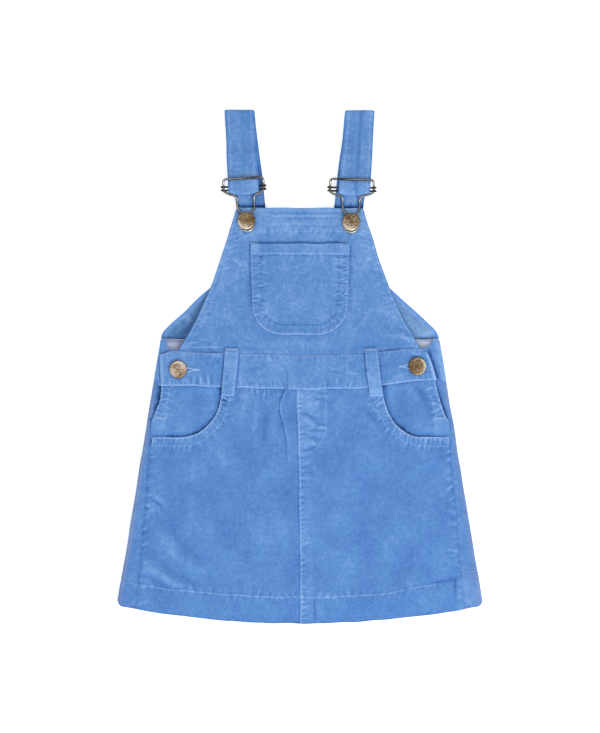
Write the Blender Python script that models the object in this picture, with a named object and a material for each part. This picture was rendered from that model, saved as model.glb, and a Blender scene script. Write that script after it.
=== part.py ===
"""A child's pinafore dress in fine corduroy, laid flat on its back and done up.

Every size below is in millimetres, and add_body turns them into metres. The dress lies on z = 0 with its front
up: +X is to the right as one looks down at it, +Y runs from the hem to the straps. "Out" is a distance from
the middle line towards either side. Cloth that is sewn to other cloth stops a seam gap short of it.
"""

import math
from collections import namedtuple

import bmesh
import bpy
import numpy as np

MM = 0.001
GAP = 0.3  # seam gap, and the gap between cloths that lie on each other

# Thicknesses of cloth
CLOTH = 1.2  # one layer of fine corduroy
HEM_CLOTH = 2.0  # the turned-up hem
BIB_CLOTH = 1.4
FRONT_BAND = 2.2  # waistband, two layers with their turnings between
BACK_BAND = 2.0
STRAP = 2.2
BELT_LOOP = 1.6
LINING = 1.0

# Outline of the laid dress
FOLD_AT_ZERO = 138.2  # half width at y = 0
FLARE = 0.1633  # how far each side goes out for each millimetre down
SEAM_TOP_OUT, SEAM_TOP_Y, SEAM_FLARE = 143.5, -76.0, 0.083  # side seams, on the front near the folds
HEM_Y, HEM_CURVE = -246.6, 0.00056  # lowest point of the hem, and its rise with the square of x
HEM_DEPTH = 24.0
HEM_ROW_Y = -235.0  # where the hem's ends are, near enough to find how far out they lie
CENTRE_SEAM_OFF = -3.2  # the centre seam starts this far off the middle, and is on it at the hem

# Heights of the layers above the floor
FOLD_TOP_WAIST, FOLD_TOP_SKIRT = 4.6, 5.5  # top of the side folds beside the pockets, and below them
BAND_FOLD_TOP = 5.6
BEARER_FLOOR, BEARER_LIFT, PLACKET_LIFT = 2.0, 1.2, 1.7
SKIRT_FLOOR, SKIRT_LIFT, HEM_LIFT = 2.2, 2.1, 0.9
BAND_FLOOR, BAND_LIFT = 3.8, 2.1
BIB_FLOOR, BIB_FOOT_LIFT, BIB_CORNER_LIFT = 2.6, 1.3, 1.7

# Bib and its pocket
BIB_TOP_Y, BIB_TOP_HALF = 152.3, 61.0
BIB_FLARE, BIB_HOLLOW, BIB_HEIGHT = 0.29, 15.0, 135.0  # sides: a straight flare and a cubic hollow
POCKET_HALF, POCKET_TOP_Y, POCKET_FOOT_Y = 47.8, 118.0, 30.3
POCKET_CORNER, POCKET_TAPER, POCKET_HEM = 29.0, 2.0, 10.0

# Back bodice, waistband and straps
BODICE_TOP_Y, BODICE_TOP_HALF = 102.5, 57.0
ARMHOLE_Y = 33.7
BACK_BAND_TOP_Y, BACK_BAND_FOOT_Y = 25.8, -12.7
STAND_END_OUT, STAND_SHOWS_OUT = 88.0, 130.0  # button stands: their ends, and where they come out of the front
LINING_HALF = 129.4
STRAP_TOP_Y, STRAP_FOOT_OUT, STRAP_TOP_WIDTH = 246.6, 41.0, 28.3
STRAP_BEND = 1.4  # radius of the middle of the strap's top fold

# Pocket openings, a quarter ellipse and then straight out to the side seam
OPENING_WIDTH, OPENING_FOOT_Y = 37.0, -67.5
BEARER_IN, BEARER_FOOT_Y = 63.0, -80.0
UNDERLAP = 5.0  # the back skirt under the bearers' edges
OPENING_END_Y = -50.0  # the side openings end in the side seams
SKIRT_ROWS_Y = (-25.0, -33.0, -42.0, -49.0, -51.5, -75.0, -110.0, -150.0, -190.0)

# Buckles: a frame of round wire, and a slide with two bars that hook round the frame's sides
FRAME_WIRE, SLIDE_WIRE = 0.95, 0.75  # radii
FRAME_Z, FRAME_SIDE_Z, FRAME_TOP_Z = 5.3, 7.95, 9.9
SLIDE_BARS_UP = (29.8, 33.0)
SLIDE_Z = FRAME_SIDE_Z - FRAME_WIRE - SLIDE_WIRE - GAP
SLIDE_LINK_OUT, SLIDE_LINK = 9.0, 0.5

# Buttons
CAP_RADIUS, SHANK_RADIUS, HOLE_RADIUS, SLOT_HALF = 8.5, 2.0, 2.6, 0.65
CAP_SEGMENTS = 20

Side = namedtuple(
    "Side",
    "name sign pocket_out waist_out waist_y slot_end bib_out bib_y "
    "frame_half frame_shift lean strap_top strap_foot strap_width loop_top loop_foot",
)
SIDES = (
    Side("left", -1, 112.0, 116.5, -2.9, 96.5, 51.2, 139.6, 19.2, 1.6, 2.2, 57.9, 54.2, 29.4, 65.3, 69.3),
    Side("right", 1, 116.0, 112.3, 0.3, 94.8, 48.9, 138.4, 20.8, 0.4, 0.7, 57.8, 52.0, 30.2, 67.9, 72.8),
)


def table(columns, *rows):
    """A short table whose columns are read by name."""
    return np.array(list(rows), dtype=[(name, float) for name in columns.split()])


WAIST = table(
    "x top foot",
    (-134, 12.0, -18.6),
    (-120, 14.9, -18.8),
    (-104, 13.7, -19.0),
    (-75, 13.2, -20.0),
    (-33, 12.0, -20.8),
    (5, 11.0, -22.2),
    (33, 11.8, -21.4),
    (62, 12.6, -20.6),
    (80, 14.8, -17.8),
    (95, 16.7, -16.1),
    (115, 17.4, -13.9),
    (131, 17.0, -12.7),
)
# Front edge of the side openings, from the waistband's ends down to the side seams
SIDE_OPENING = table(
    "y left right",
    (-50, 141.3, 141.3),
    (-42, 138.6, 138.0),
    (-32, 134.8, 134.9),
    (-24, 133.8, 132.4),
    (-12, 133.6, 129.5),
)
# Upper edge of the back waistband where it turns over the side folds on to the front
TURNED_EDGE = table("out y", (122.0, 12.4), (126.4, 15.4), (129.6, 20.4), (131.4, 25.8))
# Long soft rolls in the front skirt
ROLLS = table(
    "waist_x hem_x top foot half_width height",
    (-36, -50, -55, -235, 13, 0.8),
    (-92, -112, -110, -250, 16, 0.7),
    (42, 48, -26, -215, 14, 0.8),
    (96, 112, -105, -250, 16, 0.8),
)
# How far the left panel's pleat wanders out from a straight line on its way down
PLEAT_PATH = table("y shift", (-120, 0.0), (-91, -1.6), (-68, -1.0), (-50, 3.2), (-36, 4.6), (-21, 0.0))
PLEAT_OUT, PLEAT_EDGE, PLEAT_HEIGHT = 14.0, 1.7, 2.0
GATHER_IN, GATHER_OUT, GATHER_PITCH, GATHER_HEIGHT = 24.0, 58.0, 6.8, 0.9


def ease(value, start, end):
    """0 before start, 1 after end, and a smooth step between."""
    t = np.clip((value - start) / (end - start), 0.0, 1.0)
    return t * t * (3.0 - 2.0 * t)


def mix(a, b, t):
    return a + (b - a) * t


def fold_out(y):
    """Half width of the laid dress."""
    return FOLD_AT_ZERO - FLARE * y


def seam_out(y):
    return SEAM_TOP_OUT + SEAM_FLARE * (SEAM_TOP_Y - y)


def front_edge_out(y, side):
    """Outer edge of the front: the side opening, then the side seam."""
    return np.where(y > OPENING_END_Y, np.interp(y, SIDE_OPENING["y"], SIDE_OPENING[side.name]), seam_out(y))


def hem_y(x):
    return HEM_Y + HEM_CURVE * x * x


def waist_top(x):
    return np.interp(x, WAIST["x"], WAIST["top"])


def waist_foot(x):
    return np.interp(x, WAIST["x"], WAIST["foot"])


def bib_half(y):
    down = BIB_TOP_Y - y
    return BIB_TOP_HALF + BIB_FLARE * down + BIB_HOLLOW * (down / BIB_HEIGHT) ** 3


def bearer_floor(x, y):
    """Underside of the pocket bearers, which climb on to the side folds."""
    lift = BEARER_LIFT + PLACKET_LIFT * ease(y, -74.0, -53.0)
    return BEARER_FLOOR + lift * ease(np.abs(x), 72.0, 124.0)


def skirt_floor(x, y):
    """Underside of the front skirt: on the bearers at the top, on the back and its hem below."""
    pocket = bearer_floor(x, y) + CLOTH + GAP
    plain = SKIRT_FLOOR + SKIRT_LIFT * ease(np.abs(x), 60.0, seam_out(y)) + HEM_LIFT * ease(-y, 190.0, 222.0)
    floor = mix(plain, pocket, ease(y, -115.0, -80.0))
    for roll in ROLLS:
        middle = np.interp(y, (HEM_Y, 0.0), (roll["hem_x"], roll["waist_x"]))
        along = ease(-y, -roll["top"], 40.0 - roll["top"]) * ease(y, roll["foot"], roll["foot"] + 40.0)
        floor = floor + roll["height"] * along * np.exp(-(((x - middle) / roll["half_width"]) ** 2))
    return floor


def band_floor(x):
    """Underside of the front waistband, which climbs on to the button stands."""
    return BAND_FLOOR + BAND_LIFT * ease(np.abs(x), 70.0, 86.0)


def bib_floor(x, y):
    foot = ease(75.0 - y, 0.0, 57.0)
    return BIB_FLOOR + foot * (BIB_FOOT_LIFT + BIB_CORNER_LIFT * ease(np.abs(x), 72.0, 100.0))


def finish(name, colour, roughness, metallic=0.0):
    material = bpy.data.materials.new(name)
    material.use_nodes = True
    shader = material.node_tree.nodes["Principled BSDF"]
    shader.inputs["Base Color"].default_value = (*colour, 1.0)
    shader.inputs["Roughness"].default_value = roughness
    shader.inputs["Metallic"].default_value = metallic
    return material


def add_body(name, material, mesh, hidden=False):
    """Turns a bmesh in millimetres into an object in metres, with its faces pointing out."""
    bmesh.ops.scale(mesh, vec=(MM, MM, MM), verts=mesh.verts)
    bmesh.ops.recalc_face_normals(mesh, faces=mesh.faces)
    data = bpy.data.meshes.new(name)
    mesh.to_mesh(data)
    mesh.free()
    data.shade_smooth()
    data.set_sharp_from_angle(angle=math.radians(40))
    data.materials.append(material)
    body = bpy.data.objects.new(name, data)
    bpy.context.collection.objects.link(body)
    if hidden:
        body.hide_render = True
        body.display_type = "WIRE"
    return body


def combine(body, other, operation):
    modifier = body.modifiers.new(other.name, "BOOLEAN")
    modifier.operation = operation
    modifier.object = other


def wall(name, material, under, over):
    """A closed wall between two grids of points, each an array of rows, columns and x, y, z."""
    rows, columns = under.shape[:2]
    mesh = bmesh.new()
    low, high = ([[mesh.verts.new(p) for p in row] for row in grid] for grid in (under, over))
    for r in range(rows - 1):
        for c in range(columns - 1):
            for grid in (low, high):
                mesh.faces.new((grid[r][c], grid[r][c + 1], grid[r + 1][c + 1], grid[r + 1][c]))
    for c in range(columns - 1):
        for r in (0, rows - 1):
            mesh.faces.new((low[r][c], low[r][c + 1], high[r][c + 1], high[r][c]))
    for r in range(rows - 1):
        for c in (0, columns - 1):
            mesh.faces.new((low[r][c], low[r + 1][c], high[r + 1][c], high[r][c]))
    return add_body(name, material, mesh)


def cloth(name, material, x, y, floor, thickness):
    """A wall whose points stand one above the other."""
    x, y, floor, thickness = np.broadcast_arrays(x, y, floor, thickness)
    return wall(name, material, np.stack((x, y, floor), -1), np.stack((x, y, floor + thickness), -1))


def wrapped(name, material, columns, rows_y, edge_out, height, thickness):
    """Cloth that lies on the floor and turns over at both side folds.

    Each column of the grid is (side, part, value): a "lap" on the front, value 0 at its edge and 1 at the fold,
    a "turn" round the fold at an angle, or "flat" on the floor, value 0 at the fold and 1 in the middle.
    """
    under, over = [], []
    for side, part, value in columns:
        y = rows_y(side, part, value)
        wall_now = thickness(y)
        bend = (height(y) - wall_now) / 2.0
        turn_out = fold_out(y) - wall_now / 2.0 - bend
        if part == "lap":
            out, z, facing = mix(edge_out(y, side), turn_out, value), height(y) - wall_now / 2.0, (0.0, 1.0)
        elif part == "turn":
            facing = (math.cos(value), math.sin(value))
            out, z = turn_out + bend * facing[0], height(y) / 2.0 + bend * facing[1]
        else:
            out, z, facing = turn_out * (1.0 - value), wall_now / 2.0, (0.0, -1.0)
        half = wall_now / 2.0
        under.append(np.stack((side.sign * (out - half * facing[0]), y, z - half * facing[1]), -1))
        over.append(np.stack((side.sign * (out + half * facing[0]), y, z + half * facing[1]), -1))
    return wall(name, material, np.stack(under, 1), np.stack(over, 1))


def wrap_columns(laps, turns, flats):
    """Columns from the left front edge round the back to the right front edge."""
    half = [("lap", k / laps) for k in range(laps)]
    half += [("turn", math.pi / 2.0 - math.pi * k / turns) for k in range(turns + 1)]
    half += [("flat", k / flats) for k in range(1, flats)]
    left, right = SIDES
    middle = [(left, "flat", 1.0)]
    return [(left, *c) for c in half] + middle + [(right, *c) for c in reversed(half)]


def smooth_path(points, steps, closed=False):
    """Catmull-Rom curve through the points, with so many steps between each two."""
    points = np.asarray(points, dtype=float)
    if closed:
        points = np.concatenate((points[-1:], points, points[:2]))
    else:
        points = np.concatenate((2 * points[:1] - points[1:2], points, 2 * points[-1:] - points[-2:-1]))
    a, b, c, d = points[:-3, None], points[1:-2, None], points[2:-1, None], points[3:, None]
    t = (np.arange(steps) / steps)[None, :, None]
    curve = b + 0.5 * t * (c - a + t * (2 * a - 5 * b + 4 * c - d + t * (3 * (b - c) + d - a)))
    curve = curve.reshape(-1, points.shape[1])
    return curve if closed else np.concatenate((curve, points[-2:-1]))


def wire(name, material, path, radius, closed, hidden=False):
    """A round wire with six sides along a path, made a mesh."""
    curve = bpy.data.curves.new(name, "CURVE")
    curve.dimensions = "3D"
    curve.bevel_depth = radius
    curve.bevel_resolution = 1
    curve.use_fill_caps = True
    spline = curve.splines.new("POLY")
    spline.points.add(len(path) - 1)
    for point, place in zip(spline.points, path):
        point.co = (*place, 1.0)
    spline.use_cyclic_u = closed
    guide = bpy.data.objects.new(name, curve)
    bpy.context.collection.objects.link(guide)
    mesh = bmesh.new()
    mesh.from_mesh(bpy.data.meshes.new_from_object(guide.evaluated_get(bpy.context.evaluated_depsgraph_get())))
    bpy.data.objects.remove(guide)
    bmesh.ops.remove_doubles(mesh, verts=mesh.verts, dist=0.001)
    return add_body(name, material, mesh, hidden)


def turned(name, material, profile, place, segments):
    """A profile of (radius, height) rows, both ends on the axis, spun about Z."""
    mesh = bmesh.new()
    points = [mesh.verts.new((radius, 0.0, height)) for radius, height in profile]
    edges = [mesh.edges.new(pair) for pair in zip(points, points[1:])]
    bmesh.ops.spin(
        mesh,
        geom=points + edges,
        cent=(0.0, 0.0, 0.0),
        axis=(0.0, 0.0, 1.0),
        angle=2.0 * math.pi,
        steps=segments,
        use_merge=False,
    )
    bmesh.ops.remove_doubles(mesh, verts=mesh.verts, dist=0.001)
    bmesh.ops.translate(mesh, vec=place, verts=mesh.verts)
    return add_body(name, material, mesh)


def turned_share(part, angle):
    """How far a column has come over to the front: 0 on the floor, 1 on the front."""
    return (math.pi / 2.0 + angle) / math.pi if part == "turn" else float(part == "lap")


def lap_foot(side, out):
    """Lower edge of the back waistband on the front: inside the front waistband's edge, then up to the fold."""
    show = np.clip((out - STAND_SHOWS_OUT) / (FOLD_AT_ZERO - STAND_SHOWS_OUT), 0.0, 1.0)
    return mix(waist_foot(side.sign * out) + 1.0, BACK_BAND_FOOT_Y - 1.0, show)


def back_skirt(material):
    """One panel: the whole back, and the strips that wrap round to the front."""

    def rows_y(side, part, value):
        top = BACK_BAND_FOOT_Y - turned_share(part, value) - GAP
        if part == "lap":
            out = mix(front_edge_out(BACK_BAND_FOOT_Y, side) - UNDERLAP, FOLD_AT_ZERO, value)
            top = lap_foot(side, out) - 2.0 * GAP
        edge = hem_y(fold_out(HEM_ROW_Y) * (1.0 - value if part == "flat" else 1.0))
        line = edge + HEM_DEPTH
        return np.array((top, *SKIRT_ROWS_Y, line + 1.0, line, edge))

    def edge_out(y, side):
        return np.where(y > OPENING_END_Y, front_edge_out(y, side) - UNDERLAP, seam_out(y))

    def height(y):
        return mix(FOLD_TOP_WAIST, FOLD_TOP_SKIRT, ease(-y, 52.0, 75.0))

    def thickness(y):
        return np.where(np.arange(len(y)) >= len(y) - 2, HEM_CLOTH, CLOTH)

    wrapped("back_skirt", material, wrap_columns(3, 6, 5), rows_y, edge_out, height, thickness)


def back_waistband(material, lining):
    """A band round the back whose ends run under the front as button stands, and its lining."""
    up = np.linspace(1.0, 0.0, 4)

    def rows_y(side, part, value):
        top, foot = BACK_BAND_TOP_Y, BACK_BAND_FOOT_Y - turned_share(part, value)
        if part == "lap":
            out = mix(STAND_END_OUT, FOLD_AT_ZERO, value)
            top, foot = np.interp(out, TURNED_EDGE["out"], TURNED_EDGE["y"]), lap_foot(side, out)
        return mix(foot, top, up)

    def edge_out(y, side):
        return np.full(y.shape, STAND_END_OUT)

    def height(y):
        return np.full(y.shape, BAND_FOLD_TOP)

    def thickness(y):
        return np.full(y.shape, BACK_BAND)

    wrapped("back_waistband", material, wrap_columns(12, 6, 5), rows_y, edge_out, height, thickness)
    x, y = np.meshgrid(
        np.linspace(-LINING_HALF, LINING_HALF, 9),
        np.linspace(BACK_BAND_FOOT_Y + 0.5, BACK_BAND_TOP_Y, 3),
    )
    cloth("back_waistband_lining", lining, x, y, BACK_BAND + GAP, LINING)


def back_bodice(material):
    """The back above the waistband: short upright sides, then straight armholes up to the straps."""
    rows = np.concatenate(
        ((BACK_BAND_TOP_Y + GAP, ARMHOLE_Y - 2.0, ARMHOLE_Y), np.linspace(ARMHOLE_Y, BODICE_TOP_Y, 9)[1:])
    )
    half = np.where(
        rows < ARMHOLE_Y,
        fold_out(rows),
        mix(fold_out(ARMHOLE_Y) - 0.6, BODICE_TOP_HALF, (rows - ARMHOLE_Y) / (BODICE_TOP_Y - ARMHOLE_Y)),
    )
    across = np.linspace(-1.0, 1.0, 7)
    cloth("back_bodice", material, half[:, None] * across, rows[:, None] + 0.0 * across, 0.0, CLOTH)


def pleats(side, out, y):
    """Height of the left panel's one pleat and of the gathers beside it; the right panel is plain."""
    if side.name == "right":
        return np.zeros(np.broadcast(out, y).shape)
    pleat = ease(out, 3.0, PLEAT_OUT) * (1.0 - ease(out, PLEAT_OUT, PLEAT_OUT + PLEAT_EDGE))
    inside = ease(out, GATHER_IN, GATHER_IN + 2.0) * (1.0 - ease(out, GATHER_OUT - 2.0, GATHER_OUT))
    gather = inside * np.sin(math.pi * (out - GATHER_IN) / GATHER_PITCH) ** 2
    fading = 1.0 - ease(-y, 24.0, 54.0)
    return PLEAT_HEIGHT * pleat * (1.0 - ease(-y, 34.0, 100.0)) + GATHER_HEIGHT * gather * fading


def front_skirt(side, material):
    """One front panel, from the waist and the pocket opening down to the hem."""
    opening_in = side.pocket_out - OPENING_WIDTH
    if side.name == "left":
        gathers = np.arange(GATHER_IN, GATHER_OUT + 0.1, GATHER_PITCH / 2.0)
        near = np.concatenate(((GAP / 2.0, 4.0, 9.0, PLEAT_OUT, PLEAT_OUT + PLEAT_EDGE, 20.0), gathers))
        waist = np.concatenate((near, np.linspace(GATHER_OUT, opening_in, 4)[1:]))
    else:
        waist = np.concatenate(((GAP / 2.0,), np.linspace(6.0, opening_in, 12)))
    start_y = waist_foot(side.sign * opening_in) - GAP
    angle = np.linspace(0.0, math.pi / 2.0, 8)[1:]
    curve_out = side.pocket_out - OPENING_WIDTH * np.cos(angle)
    curve_y = start_y + (OPENING_FOOT_Y - start_y) * np.sin(angle)
    straight = np.linspace(side.pocket_out, seam_out(OPENING_FOOT_Y) - GAP, 5)[1:]
    out = np.concatenate((waist, curve_out, straight))
    top = np.concatenate(
        (waist_foot(side.sign * waist) - GAP, curve_y, np.full(len(straight), OPENING_FOOT_Y))
    )
    along = np.concatenate(((0.0,), np.cumsum(np.hypot(np.diff(out), np.diff(top)))))
    hem_end = seam_out(HEM_ROW_Y) - GAP
    hem_out = np.interp(
        along, (0.0, along[len(waist) - 1], along[-1]), (out[0], opening_in * 0.88, hem_end)
    )
    down = np.array((0.0, 0.035, 0.075, 0.12, 0.17, 0.23, 0.31, 0.4, 0.52, 0.66, 0.83, 1.0))[:, None]
    edge = hem_y(hem_out)
    line = edge + HEM_DEPTH
    y = np.concatenate((mix(top, line + 1.0, down), line[None], mix(line, edge, 0.5)[None], edge[None]))
    share = (top - y) / (top - edge)
    at = mix(out, hem_out, share)
    centre = CENTRE_SEAM_OFF * ((y - HEM_Y) / -(HEM_Y + 22.0)) ** 2
    x = side.sign * at + centre * (1.0 - ease(out, 0.0, 13.0))
    if side.name == "left":
        wander = np.interp(y, PLEAT_PATH["y"], PLEAT_PATH["shift"])
        x = x - wander * ease(out, 3.0, PLEAT_OUT) * (1.0 - ease(out, PLEAT_OUT + PLEAT_EDGE, 40.0))
    floor = skirt_floor(x, y) + pleats(side, out + 0.0 * y, y)
    hem = np.zeros(y.shape)
    hem[-3:] = HEM_CLOTH - CLOTH
    cloth(f"front_skirt_{side.name}", material, x, y, floor - hem, CLOTH + hem)


def pocket_bearer(side, material):
    """The cloth that shows in a pocket's opening, tucked under the front skirt."""
    across = np.linspace(0.0, 1.0, 9)
    top = waist_foot(side.sign * mix(BEARER_IN, 131.0, across)) - GAP
    rows = np.array((*SKIRT_ROWS_Y[:5], -60.0, -68.0, BEARER_FOOT_Y))[:, None]
    y = np.concatenate((top[None], rows + 0.0 * across))
    out = mix(BEARER_IN, front_edge_out(y, side) - GAP, across)
    cloth(f"pocket_bearer_{side.name}", material, side.sign * out, y, bearer_floor(out, y), CLOTH)


def buttonhole(side, material):
    """Keyhole cutter: a round eye for the shank and a slot towards the middle."""
    mouth = math.asin(SLOT_HALF / HOLE_RADIUS)
    angles = np.linspace(mouth, 2.0 * math.pi - mouth, 13)
    eye = [(side.waist_out - HOLE_RADIUS * math.cos(a), HOLE_RADIUS * math.sin(a)) for a in angles]
    outline = eye + [(side.slot_end, -SLOT_HALF), (side.slot_end, SLOT_HALF)]
    mesh = bmesh.new()
    face = mesh.faces.new([mesh.verts.new((side.sign * o, side.waist_y + up, 3.0)) for o, up in outline])
    raised = bmesh.ops.extrude_face_region(mesh, geom=[face])["geom"]
    corners = [item for item in raised if isinstance(item, bmesh.types.BMVert)]
    bmesh.ops.translate(mesh, vec=(0.0, 0.0, 8.0), verts=corners)
    return add_body(f"buttonhole_{side.name}", material, mesh, hidden=True)


def front_waistband(material):
    """A curved band of two layers with a slanting end and a buttonhole at each side."""
    up = np.linspace(0.0, 1.0, 4)[:, None]
    left_end, right_end = mix(-133.4, -134.5, up), mix(131.0, 121.5, up)
    x = mix(left_end, right_end, np.linspace(0.0, 1.0, 33))
    y = mix(waist_foot(x), waist_top(x), up)
    band = cloth("front_waistband", material, x, y, band_floor(x), FRONT_BAND)
    for side in SIDES:
        combine(band, buttonhole(side, material), "DIFFERENCE")


def bib(material):
    across = np.linspace(-1.0, 1.0, 17)
    foot = waist_top(across * bib_half(17.0)) + GAP
    y = mix(foot, BIB_TOP_Y, np.linspace(0.0, 1.0, 12)[:, None])
    x = across * bib_half(y)
    cloth("bib", material, x, y, bib_floor(x, y), BIB_CLOTH)


def bib_pocket(material):
    """Patch pocket with a turned hem and round lower corners, lying on the bib."""
    bend = np.linspace(0.0, math.pi / 2.0, 6)
    corner_y = POCKET_FOOT_Y + POCKET_CORNER * (1.0 - np.cos(bend))
    corner_in = POCKET_CORNER * (1.0 - np.sin(bend))
    hem_line = POCKET_TOP_Y - POCKET_HEM
    straight = np.array((75.0, 91.0, hem_line - 0.5, hem_line, POCKET_TOP_Y))
    rows = np.concatenate((corner_y, straight))
    taper = POCKET_TAPER * (POCKET_TOP_Y - rows) / (POCKET_TOP_Y - POCKET_FOOT_Y)
    half = POCKET_HALF - taper - np.concatenate((corner_in, np.zeros(len(straight))))
    across = np.linspace(-1.0, 1.0, 13)
    x, y = half[:, None] * across, rows[:, None] + 0.0 * across
    thickness = np.where(y >= hem_line, HEM_CLOTH, CLOTH)
    cloth("bib_pocket", material, x, y, bib_floor(x, y) + BIB_CLOTH + GAP, thickness)


def belt_loop(side, material):
    """A strip over the waistband, sewn down on the bib above it and on the skirt below it."""
    half_width = 6.4
    y = np.array((-28.6, -26.0, -24.0, -22.4, -20.8, -12.0, -3.0, 6.0, 13.0, 18.0))[:, None]
    middle = mix(side.loop_foot, side.loop_top, (y - y.min()) / (y.max() - y.min()))
    x = side.sign * (middle + half_width * np.linspace(-1.0, 1.0, 4))
    band = band_floor(x) + FRONT_BAND
    floor = mix(band, skirt_floor(x, y) + CLOTH, ease(-y, 22.0, 26.0)) + GAP
    cloth(f"belt_loop_{side.name}", material, x, y, floor, BELT_LOOP)


def strap(side, material):
    """From the back bodice up to the top fold, down the front, round the slide and up behind itself."""
    mid, low = STRAP / 2.0, SLIDE_Z - SLIDE_WIRE - GAP - STRAP / 2.0
    high = SLIDE_Z + SLIDE_WIRE + GAP + STRAP / 2.0
    turn_y, slide_y = STRAP_TOP_Y - mid - STRAP_BEND, side.bib_y + SLIDE_BARS_UP[0]
    back = [(BODICE_TOP_Y + GAP, mid), (150.0, mid), (200.0, mid)]
    turns = np.linspace(-math.pi / 2.0, math.pi / 2.0, 8)
    top_fold = [(turn_y + STRAP_BEND * math.cos(a), mid + STRAP_BEND * (1.0 + math.sin(a))) for a in turns]
    top_z = mid + 2.0 * STRAP_BEND
    drape = table(
        "y z",
        (214.0, top_z),
        (208.0, top_z + 0.8),
        (202.0, low + STRAP + GAP),
        (190.0, low + STRAP + GAP),
        (183.0, mix(low + STRAP + GAP, high, 0.5)),
        (176.5, high),
    )
    front = [(row["y"], row["z"]) for row in drape]
    loop = (high - low) / 2.0
    slide_fold = [(slide_y - loop * math.cos(a), (high + low) / 2.0 + loop * math.sin(a)) for a in turns[::-1]]
    tail = [(188.0, low), (203.5, low)]
    path = np.array(back + top_fold + front + slide_fold + tail)
    going = np.gradient(path, axis=0)
    going /= np.hypot(going[:, 0], going[:, 1])[:, None]
    facing = np.stack((going[:, 1], -going[:, 0]), -1)
    behind = np.arange(len(path)) < len(back) + len(top_fold) // 2
    back_out = np.interp(path[:, 0], (BODICE_TOP_Y, STRAP_TOP_Y), (STRAP_FOOT_OUT, side.strap_top))
    front_out = np.interp(path[:, 0], (slide_y, STRAP_TOP_Y), (side.strap_foot, side.strap_top))
    middle = np.where(behind, back_out, front_out)
    front_width = np.interp(path[:, 0], (slide_y, STRAP_TOP_Y), (side.strap_width, STRAP_TOP_WIDTH))
    width = np.where(behind, STRAP_TOP_WIDTH, front_width)
    across = np.linspace(-0.5, 0.5, 4)
    offset = width[:, None] * across
    near_slide = np.where(behind, 0.0, 1.0 - ease(path[:, 0], 178.0, 215.0))
    lean = -math.tan(math.radians(side.lean)) * near_slide[:, None] * offset
    sheets = []
    for half in (-mid, mid):
        place = path + half * facing
        sheets.append(
            np.stack(
                (side.sign * (middle[:, None] + offset), place[:, :1] + lean, place[:, 1:] + 0.0 * offset), -1
            )
        )
    wall(f"strap_{side.name}", material, *sheets)


def on_buckle(side, out, up):
    """A place in a buckle's own plane, from its button outwards and up, leaning with the buckle."""
    turn = math.radians(side.lean)
    shifted = out + side.frame_shift * ease(up, 6.0, 24.0)
    x = side.sign * (side.bib_out + shifted * math.cos(turn) + up * math.sin(turn))
    return x, side.bib_y - shifted * math.sin(turn) + up * math.cos(turn)


def buckle_frame(side, material):
    """Closed wire frame: top bar, sides, shoulders, a narrow U and a keyhole end under the button."""
    wide = side.frame_half
    half = table(
        "out up",
        (wide / 2.0, 40.5),
        (wide - 3.0, 40.5),
        (wide - 0.8, 39.7),
        (wide, 37.6),
        (wide, 33.5),
        (wide, 29.4),
        (wide - 0.7, 27.4),
        (wide - 3.0, 25.7),
        (13.6, 24.6),
        (10.6, 23.3),
        (8.8, 20.9),
        (8.3, 17.2),
        (8.0, 13.6),
        (6.7, 10.4),
        (4.8, 7.3),
        (3.9, 4.4),
        (4.5, 0.8),
        (4.8, -3.0),
        (3.9, -6.4),
        (2.1, -8.6),
    )
    out = np.concatenate((half["out"], (0.0,), -half["out"][::-1], (0.0,)))
    up = np.concatenate((half["up"], (-9.3,), half["up"][::-1], (40.5,)))
    plan = smooth_path(np.stack((out, up), -1), 2, closed=True)
    x, y = on_buckle(side, plan[:, 0], plan[:, 1])
    z = mix(FRAME_Z, FRAME_SIDE_Z, ease(plan[:, 1], 18.0, 26.5))
    z = mix(z, FRAME_TOP_Z, ease(plan[:, 1], 34.6, 39.8))
    wire(f"buckle_frame_{side.name}", material, np.stack((x, y, z), -1), FRAME_WIRE, True)


def buckle_slide(side, material):
    """Two bars behind the strap, each hooked under and round the frame's side wires, with two links."""
    hook = FRAME_WIRE + SLIDE_WIRE + GAP
    angles = np.radians((100.0, 62.0, 25.0, -12.0, -50.0, -90.0))
    out = side.frame_half + hook * np.cos(angles)
    z = FRAME_SIDE_Z + hook * np.sin(angles)
    bars = []
    for suffix, up in zip(("", "_bar"), SLIDE_BARS_UP):
        ends = np.concatenate((out, -out[::-1]))
        x, y = on_buckle(side, ends, np.full(len(ends), up))
        path = np.stack((x, y, np.concatenate((z, z[::-1]))), -1)
        name = f"buckle_slide_{side.name}{suffix}"
        bars.append(wire(name, material, path, SLIDE_WIRE, False, hidden=bool(suffix)))
    body, *others = bars
    for number, link_out in enumerate((-SLIDE_LINK_OUT, SLIDE_LINK_OUT)):
        x, y = on_buckle(side, np.full(2, link_out), np.array(SLIDE_BARS_UP))
        path = np.stack((x, y, np.full(2, SLIDE_Z)), -1)
        others.append(wire(f"slide_link_{side.name}_{number}", material, path, SLIDE_LINK, False, hidden=True))
    for other in others:
        combine(body, other, "UNION")


def button(name, material, place, shank_z, cap_z):
    """A pressed metal cap with a rolled rim and a sunk face, on a round shank."""
    cap = table(
        "radius height",
        (SHANK_RADIUS, 0.0),
        (CAP_RADIUS - 0.8, 0.0),
        (CAP_RADIUS - 0.1, 0.5),
        (CAP_RADIUS, 1.2),
        (CAP_RADIUS - 0.5, 2.0),
        (CAP_RADIUS - 1.5, 2.3),
        (CAP_RADIUS - 2.3, 2.0),
        (4.0, 2.1),
        (1.8, 2.5),
        (0.0, 2.7),
    )
    shank = [(0.0, shank_z), (SHANK_RADIUS, shank_z)]
    profile = shank + [(row["radius"], cap_z + row["height"]) for row in cap]
    turned(name, material, profile, (*place, 0.0), CAP_SEGMENTS)


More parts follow.
